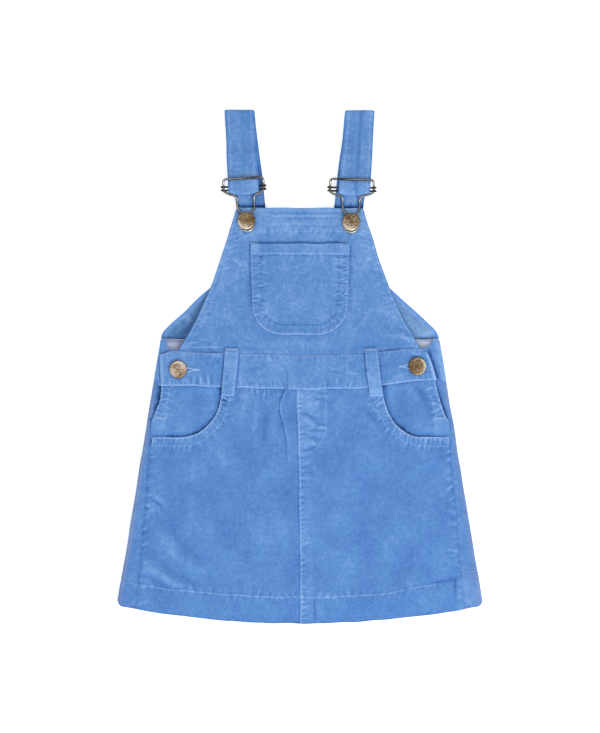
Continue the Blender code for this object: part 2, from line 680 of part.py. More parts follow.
def build():
    for leftover in list(bpy.data.objects):
        bpy.data.objects.remove(leftover)
    corduroy = finish("light blue corduroy", (0.13, 0.30, 0.66), 0.9)
    reverse = finish("wrong side of the corduroy", (0.07, 0.17, 0.40), 0.95)
    cotton = finish("lavender grey cotton lining", (0.45, 0.47, 0.62), 0.9)
    brass = finish("antique brass", (0.25, 0.16, 0.08), 0.4, 1.0)
    steel = finish("bronzed steel wire", (0.14, 0.11, 0.09), 0.35, 1.0)
    back_skirt(corduroy)
    back_waistband(corduroy, cotton)
    back_bodice(reverse)
    front_waistband(corduroy)
    bib(corduroy)
    bib_pocket(corduroy)
    for side in SIDES:
        front_skirt(side, corduroy)
        pocket_bearer(side, corduroy)
        belt_loop(side, corduroy)
        strap(side, corduroy)
        buckle_frame(side, steel)
        buckle_slide(side, steel)
        bib_top = BIB_FLOOR + BIB_CLOTH + GAP
        cap_z = FRAME_Z + FRAME_WIRE + GAP
        button(f"bib_button_{side.name}", brass, (side.sign * side.bib_out, side.bib_y), bib_top, cap_z)
        band_top = BAND_FLOOR + BAND_LIFT + FRONT_BAND
        place = (side.sign * side.waist_out, side.waist_y)
        button(f"waist_button_{side.name}", brass, place, BAND_FOLD_TOP + GAP, band_top + GAP)


build()
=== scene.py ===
"""A child's pinafore dress in fine washed corduroy, laid flat on its back and done up.

The formulas work in millimetres, in the part's frame: +X to the right as one looks down at the front, +Y from
the hem to the straps, +Z up. "Out" is a distance from the middle line to either side. Meshes are in metres.
"""
import math

import bmesh
import bpy
import numpy as np
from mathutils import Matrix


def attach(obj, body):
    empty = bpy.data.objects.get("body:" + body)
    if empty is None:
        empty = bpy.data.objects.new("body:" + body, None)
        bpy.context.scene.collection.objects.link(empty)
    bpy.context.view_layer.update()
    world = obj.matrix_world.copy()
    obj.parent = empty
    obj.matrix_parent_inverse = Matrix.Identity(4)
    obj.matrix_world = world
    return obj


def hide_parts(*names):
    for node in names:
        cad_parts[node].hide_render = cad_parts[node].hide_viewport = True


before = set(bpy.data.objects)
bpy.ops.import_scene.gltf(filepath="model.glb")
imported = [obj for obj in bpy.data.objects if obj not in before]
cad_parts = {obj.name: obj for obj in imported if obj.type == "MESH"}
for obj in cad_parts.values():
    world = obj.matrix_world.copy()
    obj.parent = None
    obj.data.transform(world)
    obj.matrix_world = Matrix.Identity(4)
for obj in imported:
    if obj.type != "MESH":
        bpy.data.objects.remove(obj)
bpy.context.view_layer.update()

# ---- The table, the light and the camera -----------------------------------------------------------------
# The dress lies on a white table that is lit from below, so that it keeps no shadow. Soft light comes from a
# ring all round, darker straight above, where the camera hangs, and from one large lamp beyond the hem.
MM = 0.001
TABLE_HALF, TABLE_Z, TABLE_LIGHT = 3000.0, -0.4, 0.5
RING_LIGHT, RING_TO, ZENITH_LIGHT, ZENITH_FROM = 0.95, 0.84, 0.5, 0.96
LAMP_PLACE, LAMP_TURN, LAMP_WIDTH, LAMP_WATTS = (0.62, -1.35, 1.15), (52.0, 0.0, 24.7), 0.6, 16.5
CAMERA_HEIGHT, LENS, SENSOR = 1.6645, 85.0, 36.0


def linear(code):
    """An sRGB hex colour as linear red, green, blue and 1: each to the power 2.4, with its straight foot."""
    part = np.array([int(code[k : k + 2], 16) / 255.0 for k in (1, 3, 5)])
    return (*np.where(part <= 0.04045, part / 12.92, ((part + 0.055) / 1.055) ** 2.4).tolist(), 1.0)


def add_node(tree, kind, inputs=(), **settings):
    """A node with its settings. Each of its inputs is a value, or another node's output, which is linked."""
    made = tree.nodes.new(kind)
    for name, value in settings.items():
        setattr(made, name, value)
    for socket, value in dict(inputs).items():
        if isinstance(value, bpy.types.NodeSocket):
            tree.links.new(value, made.inputs[socket])
        else:
            made.inputs[socket].default_value = value
    return made


def new_material(name, roughness, **sockets):
    """A material with a Principled shader, whose even values are set on its own sockets."""
    material = bpy.data.materials.new(name)
    material.use_nodes = True
    shader = material.node_tree.nodes["Principled BSDF"]
    shader.inputs["Roughness"].default_value = roughness
    for socket, value in sockets.items():
        shader.inputs[socket.replace("_", " ")].default_value = value
    return material, material.node_tree, shader


def new_object(name, data):
    """An object in the scene round a mesh, a lamp or a camera."""
    made = bpy.data.objects.new(name, data)
    bpy.context.collection.objects.link(made)
    return made


def new_piece(name, points, faces, finish):
    """An object with a smooth mesh of one material, from points in millimetres."""
    mesh = bpy.data.meshes.new(name)
    mesh.from_pydata(points * MM, [], faces)
    mesh.shade_smooth()
    mesh.materials.append(finish)
    return new_object(name, mesh)


# White paint that glows by itself, so that nothing shades it.
white = {"Base_Color": linear("#FAFAFA"), "Emission_Color": linear("#FFFFFF")}
table_paint = new_material("white painted table", 0.9, Emission_Strength=TABLE_LIGHT, **white)[0]
corners = np.array([(x, y, TABLE_Z / TABLE_HALF) for x, y in ((-1, -1), (1, -1), (1, 1), (-1, 1))])
table_top = new_piece("table_top", corners * TABLE_HALF, [(0, 1, 2, 3)], table_paint)

studio = bpy.data.worlds.new("studio")
studio.use_nodes = True
tree = studio.node_tree
tree.nodes.clear()
direction = add_node(tree, "ShaderNodeTexCoord").outputs["Generated"]
height_share = add_node(tree, "ShaderNodeSeparateXYZ", {0: direction}).outputs["Z"]
fading = {0: height_share, 1: RING_TO, 2: ZENITH_FROM, 3: RING_LIGHT, 4: ZENITH_LIGHT}
glow = add_node(tree, "ShaderNodeMapRange", fading).outputs[0]
background = add_node(tree, "ShaderNodeBackground", {"Strength": glow}).outputs[0]
add_node(tree, "ShaderNodeOutputWorld", {"Surface": background})
bpy.context.scene.world = studio

lamp_data = bpy.data.lights.new("window_lamp", "AREA")
lamp_data.shape, lamp_data.size, lamp_data.energy = "DISK", LAMP_WIDTH, LAMP_WATTS
lamp = new_object("window_lamp", lamp_data)
lamp.location, lamp.rotation_euler = LAMP_PLACE, [math.radians(turn) for turn in LAMP_TURN]

camera_data = bpy.data.cameras.new("camera")
camera_data.lens, camera_data.sensor_width = LENS, SENSOR
camera = new_object("camera", camera_data)
camera.location = (0.0, 0.0, CAMERA_HEIGHT)
bpy.context.scene.camera = camera
bpy.context.scene.view_settings.view_transform = "Standard"

# ---- Back skirt ------------------------------------------------------------------------------------------
# One panel of needlecord, right side down on the table: the whole back, and a strip on each side that comes
# over the side fold to the side seam on the front. Its hem is turned up once and stitched.
FOLD_AT_ZERO, FLARE = 138.2, 0.1633
SEAM_TOP_OUT, SEAM_TOP_Y, SEAM_FLARE = 143.5, -76.0, 0.083
HEM_Y, HEM_CURVE = -246.6, 0.00056
HEM_THICKER, HEM_STEP, HEM_CORNER = 0.8, 0.35, 6.0
FOLD_HEM_Y, SEAM_HEM_Y = -227.0, -231.0
CLOTH, GAP = 1.2, 0.3
FOLD_TOP_WAIST, FOLD_TOP_SKIRT = 4.6, 5.5
BACK_BAND_FOOT_Y, STAND_SHOWS_OUT = -12.7, 130.0
OPENING_END_Y, UNDERLAP = -50.0, 5.0
STITCH, STITCH_LENGTH, THREAD = 3.0, 2.4, 0.62


def ease(value, start, end):
    """0 before start, 1 after end, and between them 3 t squared less 2 t cubed."""
    t = np.clip((value - start) / (end - start), 0.0, 1.0)
    return t * t * (3.0 - 2.0 * t)


def mix(a, b, t):
    return a + (b - a) * t


def bell(value, width):
    """1 at 0, falling away to both sides as a Gaussian bell."""
    return np.exp(-((value / width) ** 2))


def table(columns, *rows):
    """A short table whose columns are read by name."""
    return np.array(list(rows), dtype=[(name, float) for name in columns.split()])


def through(at, x, y):
    """A smooth curve through points: cubic pieces whose slopes are the mean slopes at the points."""
    slope = np.gradient(y, x)
    at = np.clip(at, x[0], x[-1])
    k = np.clip(np.searchsorted(x, at, side="right") - 1, 0, len(x) - 2)
    step = x[k + 1] - x[k]
    t = (at - x[k]) / step
    ends = y[k] * (1 + 2 * t) * (1 - t) ** 2 + y[k + 1] * t * t * (3 - 2 * t)
    return ends + step * t * (1 - t) * (slope[k] * (1 - t) - slope[k + 1] * t)


WAIST = table(
    "x top foot",
    (-134, 12.0, -18.6),
    (-120, 14.9, -18.8),
    (-104, 13.7, -19.0),
    (-75, 13.2, -20.0),
    (-33, 12.0, -20.8),
    (5, 11.0, -22.2),
    (33, 11.8, -21.4),
    (62, 12.6, -20.6),
    (80, 14.8, -17.8),
    (95, 16.7, -16.1),
    (115, 17.4, -13.9),
    (131, 17.0, -12.7),
)
SIDE_OPENING = table(
    "y left right",
    (-50, 141.3, 141.3),
    (-42, 138.6, 138.0),
    (-32, 134.8, 134.9),
    (-24, 133.8, 132.4),
    (-12, 133.6, 129.5),
)


HEM_RISE = table(
    "x up",
    (80, 0.0),
    (107, 3.0),
    (124, 3.2),
    (141, 5.4),
    (149, 5.9),
    (158, 12.2),
    (170, 10.4),
)


def fold_out(y):
    return FOLD_AT_ZERO - FLARE * y


def seam_out(y):
    return SEAM_TOP_OUT + SEAM_FLARE * (SEAM_TOP_Y - y)


def hem_y(x):
    return HEM_Y + HEM_CURVE * x * x


def hem_row_y(x):
    """Where the hem is stitched: a flat parabola, and above it towards the right, where the hem is wider."""
    return -221.3 + 12.5 * (x / 157.0) ** 2 + np.interp(x, HEM_RISE["x"], HEM_RISE["up"])


def fold_top(y):
    """Height of the top of the side folds."""
    return mix(FOLD_TOP_WAIST, FOLD_TOP_SKIRT, ease(-y, 52.0, 75.0))


def lap_top(x, y):
    """Height of the back skirt's strips on the front."""
    return fold_top(y) + HEM_STEP * ease(hem_row_y(x) - y, -0.5, 0.7)


def waist_foot(x):
    return through(x, WAIST["x"], WAIST["foot"])


def front_edge_out(y, sign):
    """Outer edge of the front: the side opening down to its end, then the side seam."""
    edges = [np.interp(y, SIDE_OPENING["y"], SIDE_OPENING[name]) for name in ("left", "right")]
    return np.where(y > OPENING_END_Y, np.where(sign < 0, *edges), seam_out(y))


def lap_foot(x):
    """Lower edge of the back waistband on the front: inside the front's edge, then up to the fold."""
    show = np.clip((np.abs(x) - STAND_SHOWS_OUT) / (FOLD_AT_ZERO - STAND_SHOWS_OUT), 0.0, 1.0)
    return mix(waist_foot(x) + 1.0, BACK_BAND_FOOT_Y - 1.0, show)


def creases(x, y, rows):
    """Soft ridges and, with a height below 0, troughs: a bell across a bowed line that fades at both ends.

    The second result is how much lighter or darker each is painted, for abrasion and as painted light on
    ridges and painted shade in troughs, which is more on the narrow ones.
    """
    total, rubbed_and_shaded = np.zeros(np.shape(x)), np.zeros(np.shape(x))
    for row in rows:
        dx, dy = row["to_x"] - row["x"], row["to_y"] - row["y"]
        length = math.hypot(dx, dy)
        t = ((x - row["x"]) * dx + (y - row["y"]) * dy) / length**2
        arch = np.clip(4.0 * t * (1.0 - t), 0.0, 1.0)
        left = ((y - row["y"]) * dx - (x - row["x"]) * dy) / length - row["bow"] * arch
        shape = row["height"] * np.sqrt(arch) * bell(left, row["width"])
        total += shape
        rubbed_and_shaded += shape * min(1.0, 1.3 / row["width"])
    return total, rubbed_and_shaded


def puckers(along, away, pitch, reach, height, seed):
    """Short wrinkles across a seam where away > 0, each with its own place, length, slant and height.

    Each is a ridge with a shallower trough beside it.
    """
    rng = np.random.default_rng(seed)
    total = np.zeros(np.shape(along))
    near = (away > -1.5) & (away < 2.4 * reach)
    s, d = along[near], away[near]
    for k in range(max(1, int(np.max(along) / pitch))):
        place = (k + 0.5 + rng.uniform(-0.38, 0.38)) * pitch
        length, tall = reach * rng.uniform(0.55, 1.35), height * rng.uniform(0.25, 1.0)
        past = s - place - rng.uniform(-0.5, 0.5) * d
        wide = pitch * rng.uniform(0.17, 0.28)
        ridge = bell(past, wide) - 0.7 * bell(past - 2.0 * wide, wide)
        total[near] += tall * ridge * bell(np.maximum(d, -d * 3.0), length)
    return total


def slack(x, y, size, seed):
    """The slow unevenness of cloth that lies loose: eight waves of different directions, about size long."""
    rng = np.random.default_rng(seed)
    total = np.zeros(np.shape(x))
    for turn in rng.uniform(0.0, math.pi, 8):
        wave = 2.0 * math.pi / (size * rng.uniform(0.6, 1.6))
        total += np.sin(wave * (x * math.cos(turn) + y * math.sin(turn)) + rng.uniform(0.0, 6.3))
    return total / 8.0


def unsteady(points):
    """Cloth cut and laid by hand: slow waves of under 0.5 mm shift all soft pieces alike in X and Y."""
    x, y = points[:, 0].copy(), points[:, 1].copy()
    points[:, 0] += 0.8 * slack(x, y, 34.0, 7)
    points[:, 1] += 0.8 * slack(x, y, 30.0, 8)
    return points


def unit(vectors):
    return vectors / np.linalg.norm(vectors, axis=1)[:, None]


def run(path):
    """How far along a path of points each of them is."""
    return np.concatenate(((0.0,), np.cumsum(np.linalg.norm(np.diff(path, axis=0), axis=1))))


def ring_faces(rings, sides, closed=False):
    """Four-cornered faces from ring to ring of points, and then a cap on either end unless it is closed."""
    ring, side = np.meshgrid(np.arange(rings if closed else rings - 1), np.arange(sides), indexing="ij")
    here, there, on = ring * sides, (ring + 1) % rings * sides, (side + 1) % sides
    faces = np.stack((here + side, here + on, there + on, there + side), -1).reshape(-1, 4).tolist()
    if not closed:
        faces += [list(range(sides - 1, -1, -1)), list(range((rings - 1) * sides, rings * sides))]
    return faces


def face_outwards(mesh):
    """Turn the faces of closed shells outwards."""
    shell = bmesh.new()
    shell.from_mesh(mesh)
    bmesh.ops.recalc_face_normals(shell, faces=shell.faces)
    shell.to_mesh(mesh)
    shell.free()


def give_values(mesh, label, values):
    """One number for each point, which the material reads by its label."""
    mesh.attributes.new(label, "FLOAT", "POINT").data.foreach_set("value", values.astype(np.float32).ravel())


def cloth_sheet(node, over, under, flat, tone, inner, finish, slot="corduroy", rim=0.4, back=1.0):
    """A closed sheet of cloth between two grids of points, with its rim rounded by three rings of points.

    flat holds each point's place on the cloth before it was sewn, tone how light or dark it is, from abrasion
    and from painted light and shade, and inner 1 where the wrong side shows, which back says of the under
    side. It stands for the solid named node.
    """
    rows, columns = over.shape[:2]
    size = rows * columns
    index = np.arange(size).reshape(rows, columns)
    ring = np.concatenate((index[0], index[1:, -1], index[-1, -2::-1], index[-2:0:-1, 0]))
    within = np.pad(index[1:-1, 1:-1], 1, mode="edge").ravel()[ring]
    over, under = over.reshape(-1, 3).copy(), under.reshape(-1, 3).copy()
    outward = unit(over[ring] - over[within])
    over[ring] -= rim * outward
    under[ring] -= rim * outward
    rings = [
        mix(over[ring], under[ring], (1.0 - math.cos(a)) / 2.0) + rim * math.sin(a) * outward
        for a in np.radians((45.0, 90.0, 135.0))
    ]
    points = unsteady(np.concatenate((over, under, *rings)))
    quads = np.stack((index[:-1, :-1], index[:-1, 1:], index[1:, 1:], index[1:, :-1]), -1).reshape(-1, 4)
    chain = [ring] + [2 * size + k * len(ring) + np.arange(len(ring)) for k in range(3)] + [ring + size]
    walls = [np.stack((np.roll(a, -1), a, b, np.roll(b, -1)), -1) for a, b in zip(chain[:-1], chain[1:])]
    faces = np.concatenate((quads, quads[:, ::-1] + size, *walls))
    middle = over[quads]
    facing = np.cross(middle[:, 2] - middle[:, 0], middle[:, 3] - middle[:, 1])
    if np.sum(facing * (middle[:, 0] - under[quads[:, 0]])) < 0.0:
        faces = faces[:, ::-1]
    piece = new_piece(f"{node}_cloth", points, faces.tolist(), finish)
    mesh = piece.data
    vertex = np.empty(len(mesh.loops), np.int32)
    mesh.loops.foreach_get("vertex_index", vertex)

    def spread(grid):
        """The grid's values for its upper side, its under side and the three rings."""
        return np.concatenate((grid, grid, *[grid[ring]] * 3))

    places = spread(np.broadcast_to(flat, (rows, columns, 2)).reshape(-1, 2) * MM)[vertex]
    mesh.uv_layers.new(name="flat_cloth").uv.foreach_set("vector", places.astype(np.float32).ravel())
    give_values(mesh, "tone", spread(np.broadcast_to(tone, (rows, columns)).ravel()))
    inside = np.concatenate((np.broadcast_to(inner, (rows, columns)).ravel(), np.full(size, back)))
    rim_side = [mix(inside[:size][ring], back, k / 4.0) for k in (0, 1, 3)]
    give_values(mesh, "inner", np.concatenate((inside, *rim_side)))
    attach(piece, "root")
    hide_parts(node)
    return piece


def work_out(tree, operation, *terms):
    """A sum, product or both of numbers and other nodes' outputs."""
    return add_node(tree, "ShaderNodeMath", dict(enumerate(terms)), operation=operation).outputs[0]


def stripes(tree, place, apart, wander, detail, way):
    """Rounded stripes so many metres apart that wander a little."""
    inputs = {"Vector": place, "Scale": math.pi / (10.0 * apart), "Distortion": wander}
    inputs |= {"Detail": 1.0, "Detail Scale": detail}
    return add_node(tree, "ShaderNodeTexWave", inputs, bands_direction=way).outputs["Fac"]


def clouds(tree, place, scale, detail, roughness, kind="2D"):
    """Soft uneven patches between 0 and 1."""
    inputs = {"Vector": place, "Scale": scale, "Detail": detail, "Roughness": roughness}
    return add_node(tree, "ShaderNodeTexNoise", inputs, noise_dimensions=kind).outputs["Fac"]


def labelled(tree, label):
    """The values that a mesh's points have been given under a label."""
    return add_node(tree, "ShaderNodeAttribute", attribute_name=label).outputs["Fac"]


def mixed(tree, share, first, second):
    return add_node(tree, "ShaderNodeMix", {0: share, 6: first, 7: second}, data_type="RGBA").outputs[2]


def colour_of(tree, shade, places, codes):
    """The colour of a shade: mixed from the two codes whose places are next below and above it."""
    made = add_node(tree, "ShaderNodeValToRGB", {0: shade})
    elements = made.color_ramp.elements
    elements[0].position, elements[1].position = places[0], places[-1]
    for place in places[1:-1]:
        elements.new(place)
    for element, code in zip(elements, codes):
        element.color = linear(code)
    return made.outputs[0]


def finish_shader(tree, shader, colour, height, strength, depth):
    """Link the shader's colour, and a bump from a height."""
    bump = add_node(tree, "ShaderNodeBump", {"Strength": strength, "Distance": depth, "Height": height})
    tree.links.new(colour, shader.inputs["Base Color"])
    tree.links.new(bump.outputs[0], shader.inputs["Normal"])


def cord_cloth(name, right_side, wrong_side, wale, pile):
    """Corduroy: wales along the cloth, uneven pile, and slow washed patches, round three tones of one colour.

    The shade is the sum of the tone of the place, which holds abrasion and painted light and shade, uneven
    pile, washed patches and fine grain. It picks the colour between four of one hue: painted shadow at 0,
    deep at 0.2, plain at 0.5, and light at 1 for abraded pile and painted highlights.
    """
    sheen = {"Sheen_Weight": pile, "Sheen_Roughness": 0.45, "Sheen_Tint": linear("#A9C6F2")}
    material, tree, shader = new_material(name, 0.92, **sheen)
    place = add_node(tree, "ShaderNodeUVMap", uv_map="flat_cloth").outputs[0]
    relief = work_out(tree, "MULTIPLY", stripes(tree, place, wale, 1.6, 0.35, "X"), 0.5)
    shade = work_out(tree, "MULTIPLY_ADD", labelled(tree, "tone"), 0.5, 0.5)
    # Size across and along the wales in metres, weight in the shade, weight in the relief.
    for across, along, in_shade, in_relief in (
        (0.0025, 0.0027, 0.11, 0.40),
        (0.0060, 0.0058, 0.09, 0.20),
        (0.0240, 0.0330, 0.12, 0.00),
        (0.0011, 0.0012, 0.09, 0.40),
    ):
        stretch = {"Scale": (1.0 / across, 1.0 / along, 1.0), "Location": (31.7 * in_shade, 17.3, 0.0)}
        spot = add_node(tree, "ShaderNodeMapping", {"Vector": place, **stretch}).outputs[0]
        cloud = clouds(tree, spot, 1.0, 1.5, 0.55)
        centred = work_out(tree, "SUBTRACT", cloud, 0.5)
        shade = work_out(tree, "MULTIPLY_ADD", centred, 3.0 * in_shade, shade)
        relief = work_out(tree, "MULTIPLY_ADD", cloud, in_relief, relief)
    colour = colour_of(tree, shade, (0.0, 0.2, 0.5, 1.0), right_side)
    uneven = work_out(tree, "MULTIPLY_ADD", shade, 0.7, 0.65)
    hue = {"Color": linear(wrong_side), "Value": uneven}
    plain = add_node(tree, "ShaderNodeHueSaturation", hue).outputs[0]
    finish_shader(tree, shader, mixed(tree, labelled(tree, "inner"), colour, plain), relief, 0.5, 0.0003)
    return material


# Needlecord has about 21 wales to the inch, 1.2 mm. They are drawn a third wider, or they would not show.
# Four blues: painted shadow, deep, plain, and pale for abraded pile and painted highlights.
washed_blues_and_shadow = ("#1C3B70", "#4678C0", "#5C90D2", "#98C0F5")
# Where it bends round the side folds the pile is abraded to a dull grey and painted with a highlight along
# the fold, which softens the outline.
folded_needlecord = cord_cloth("needlecord, greyed at its folds", washed_blues_and_shadow, "#A6A8BA", 0.0016, 0.12)
# Polyester thread is smooth and a little glossy, and paler than the cloth.
thread = new_material("polyester sewing thread", 0.55, Base_Color=linear("#9CC3F4"))[0]


def resample(path, step=0.6):
    """Points at even steps along a path of points."""
    path = np.asarray(path, dtype=float)
    along = run(path)
    at = np.linspace(0.0, along[-1], max(3, int(along[-1] / step)))
    return np.stack([np.interp(at, along, path[:, k]) for k in range(path.shape[1])], -1)


def on_surface(x, y, top, lift=0.0):
    """A line through places x, y, laid on a surface whose height is top(x, y)."""
    line = resample(np.column_stack(np.broadcast_arrays(x, y)))
    return np.column_stack((line, top(line[:, 0], line[:, 1]) + lift))


def stitched(path, thick=THREAD, length=STITCH_LENGTH, pitch=STITCH, across=False):
    """A row of stitches along a path."""
    return path, pitch, length, thick, across


def sew(name, *rows, up=(0.0, 0.0, 1.0), finish=thread):
    """Sewing thread as one piece, from rows that stitched and tacked give.

    A stitch is four rings of six points, thin and sunk into the cloth at both ends and raised between.
    """
    points = []
    turn = np.radians(np.arange(6) * 60.0)
    for path, pitch, length, thick, across in rows:
        along = run(path)
        count = max(1, int(along[-1] / pitch))
        place = (np.arange(count) + 0.5) * along[-1] / count

        def spot(s):
            return np.stack([np.interp(s, along, path[:, k]) for k in range(3)], -1)

        going = unit(spot(place + 0.4) - spot(place - 0.4))
        beside_it = unit(np.cross(np.broadcast_to(up, going.shape), going))
        if across:
            going, beside_it = beside_it, going
        over = np.cross(going, beside_it)
        over *= np.sign(over @ np.asarray(up))[:, None]
        ring = np.array((-0.5, -0.3, 0.3, 0.5)) * length
        radius = np.array((0.35, 1.0, 1.0, 0.35))[:, None] * thick / 2.0
        lift = np.array((-0.6, 0.5, 0.5, -0.6))[:, None] * thick / 2.0
        stitch = (
            spot(place)[:, None, None]
            + going[:, None, None] * ring[None, :, None, None]
            + beside_it[:, None, None] * (radius * np.cos(turn))[None, :, :, None]
            + over[:, None, None] * (radius * np.sin(turn) + lift)[None, :, :, None]
        )
        points.append(stitch.reshape(-1, 3))
    points = unsteady(np.concatenate(points))
    starts = np.arange(0, len(points), 24)[:, None, None]
    one = ring_faces(4, 6)
    faces = [(np.array(part) + starts).reshape(-1, len(part[0])).tolist() for part in (one[:-2], one[-2:])]
    piece = new_piece(name, points, faces[0] + faces[1], finish)
    face_outwards(piece.data)
    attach(piece, "root")


def sew_under(name, *lines, z=0.2):
    """Rows of stitches along lines of x and y on an underside that faces the table."""
    paths = [resample(np.column_stack(np.broadcast_arrays(x, y, z))) for x, y in lines]
    sew(name, *map(stitched, paths), up=(0.0, 0.0, -1.0))


def wrap_columns(lap_steps, turn_steps, flat_steps):
    """Columns of cloth that turns over both side folds: sign, angle it faces, share of lap and of floor."""
    lap = np.linspace(1.0, 0.0, lap_steps, endpoint=False)
    turn = np.linspace(math.pi / 2.0, -math.pi / 2.0, turn_steps)
    floor = np.linspace(0.0, 1.0, flat_steps + 1)[1:]
    angle = np.concatenate((np.full(lap_steps, turn[0]), turn, np.full(flat_steps, turn[-1])))
    lap_share = np.concatenate((lap, np.zeros(turn_steps + flat_steps)))
    floor_share = np.concatenate((np.zeros(lap_steps + turn_steps), floor))
    half = np.stack((angle, lap_share, floor_share))
    sign = np.repeat((-1.0, 1.0), (half.shape[1], half.shape[1] - 1))
    return sign, *np.concatenate((half, half[:, -2::-1]), axis=1)


def wrapped(y, edge_out, height, wall, columns, relief):
    """Outer grid, inner grid and flat places of cloth that bends round the side folds in half circles.

    The middle of the wall runs in from the fold on the floor, or over the half circle and in along the top.
    """
    sign, angle, lap, floor = columns
    bend = (height - wall) / 2.0
    turn_out = fold_out(y) - wall / 2.0 - bend
    in_on_top = lap * (turn_out - edge_out)
    out = turn_out + bend * np.cos(angle) - in_on_top - floor * turn_out
    z = height / 2.0 + bend * np.sin(angle)
    faces = [
        np.stack((sign * (out + offset * np.cos(angle)), y, z + offset * np.sin(angle)), -1)
        for offset in (wall / 2.0 + relief, -wall / 2.0 + 0.8 * np.maximum(relief, 0.0))
    ]
    across = sign * np.where(floor > 0.0, out, turn_out + bend * (angle + math.pi / 2.0) + in_on_top)
    return *faces, np.stack((across, y), -1)


def turned_share(angle, lap):
    """How far round to the front a column has come: 0 on the floor, 1 on the front."""
    return np.where(lap > 0.0, 1.0, (math.pi / 2.0 + angle) / math.pi)


columns = wrap_columns(16, 11, 62)
sign, angle, lap, floor = columns
guess = mix(front_edge_out(np.full(len(sign), BACK_BAND_FOOT_Y), sign) - UNDERLAP, FOLD_AT_ZERO, 1.0 - lap)
top = BACK_BAND_FOOT_Y - GAP - 0.1 * turned_share(angle, lap)
top = np.where(lap > 0.0, lap_foot(sign * guess) + 0.6, top)
bend = FOLD_TOP_SKIRT / 2.0
hem_out = mix(fold_out(FOLD_HEM_Y) - bend, seam_out(SEAM_HEM_Y), lap) * (1.0 - floor) + bend * np.cos(angle)
rounded = np.clip(hem_out - fold_out(FOLD_HEM_Y) + HEM_CORNER, 0.0, HEM_CORNER)
foot = hem_y(hem_out) + HEM_CORNER - np.sqrt(HEM_CORNER**2 - rounded**2)
y = mix(top, foot, np.linspace(0.0, 1.0, 170)[:, None])
edge_out = np.where(y > OPENING_END_Y, front_edge_out(y, sign) - UNDERLAP, seam_out(y))
x = sign * fold_out(y) * (1.0 - floor)
above_row = y - hem_row_y(x)
in_hem = ease(-above_row, -0.5, 0.7)
on_front = np.where(angle > 0.3, 1.0, 0.0) + 0.0 * y
from_seam = (1.0 - lap) * (fold_out(y) - edge_out)
relief_front = puckers(-y, from_seam, 9.0, 7.0, 0.35, 3) * np.where(y < OPENING_END_Y, 1.0, 0.0)
relief_front += HEM_STEP * in_hem - 0.3 * bell(above_row, 0.7)
UNDERSIDE_TROUGHS = table(
    "x y to_x to_y bow width height",
    (-120, -60, -96, -190, 8, 7, -0.7),
    (-60, -40, -72, -150, -6, 6, -0.6),
    (-20, -90, -34, -210, 5, 8, -0.5),
    (38, -34, 50, -170, 7, 7, -0.7),
    (92, -70, 84, -200, -9, 6, -0.6),
    (128, -120, 142, -214, 4, 5, -0.6),
    (-140, -150, -108, -206, 5, 5, -0.5),
    (10, -26, 2, -70, 3, 5, -0.4),
)
relief_under = creases(x, y, UNDERSIDE_TROUGHS)[0] - 0.3 * bell(above_row, 0.7)
relief_under -= puckers(x + 160.0, np.abs(above_row), 7.0, 5.0, 0.25, 4)
relief = np.where(on_front > 0.5, relief_front, relief_under)
# Painted shadows in the side openings' gaps beyond the front's edge, wider on the left.
past_edge = np.maximum(from_seam - UNDERLAP, 0.0)
left_gap_shadow = 0.95 * bell(past_edge, mix(1.2, 5.0, ease(y, -52.0, -30.0)))
gap_wide = 1.2 + 1.8 * ease(-y, 16.0, 27.0) * ease(y, -51.0, -44.0)
right_gap_shadow = mix(0.6, 1.0, ease(-y, 20.0, 34.0)) * bell(past_edge - 1.1, gap_wide)
gap_shadow = ease(y, -52.5, -47.0) * np.where(sign < 0, left_gap_shadow, right_gap_shadow)
in_hem_light = ease(-above_row, -1.0, 0.5)
lit = (sign > 0) * (0.2 * ease(y, -78.0, -62.0) * ease(past_edge, 3.0, 6.0) + 0.07 * in_hem_light - 0.02)
at_fold = lap * (fold_out(y) - edge_out)
# Painted light and shade following the relief, painted shade along the hem's foot and round the side folds'
# outer curve, painted light (lit) on the right-hand strip, and painted shade beside the side seam.
tone = -0.12 + 0.55 * relief - 0.5 * bell(y - foot, 0.9) - 0.3 * bell(angle, 0.6)
tone += 0.25 * bell(above_row, 0.7)
tone += on_front * (lit - gap_shadow - 0.25 * bell(from_seam, 1.6) * (y < -52.0))
tone -= np.where(sign < 0, 0.3, 0.2) * on_front * ease(-above_row, -0.5, 0.5)
tone -= 0.12 * (sign > 0) * on_front * bell(at_fold, 2.0)
# Greyer towards the fold on the front, as abraded pile with a painted highlight along the fold, but not in
# the painted gap shadows.
greyed = 0.03 + 0.06 * (sign > 0) * in_hem_light + np.where(sign < 0, 0.3, 0.2) * bell(at_fold, 1.6)
greyed = on_front * greyed * (1.0 - ease(gap_shadow, 0.0, 0.3))
shape = wrapped(y, edge_out, fold_top(y), CLOTH + HEM_THICKER * in_hem, columns, relief)
back_skirt = cloth_sheet("back_skirt", *shape, tone, greyed, folded_needlecord, back=0.0)

ends = [side * np.linspace(seam_out(-208.0) + 1.0, 170.5, 20) for side in (-1.0, 1.0)]
sew("hem_stitches_side", *[stitched(on_surface(x, hem_row_y(x), lap_top)) for x in ends])
x = np.linspace(-168.0, 168.0, 80)
sew_under("hem_stitches_back", (x, hem_row_y(x)), z=0.25)

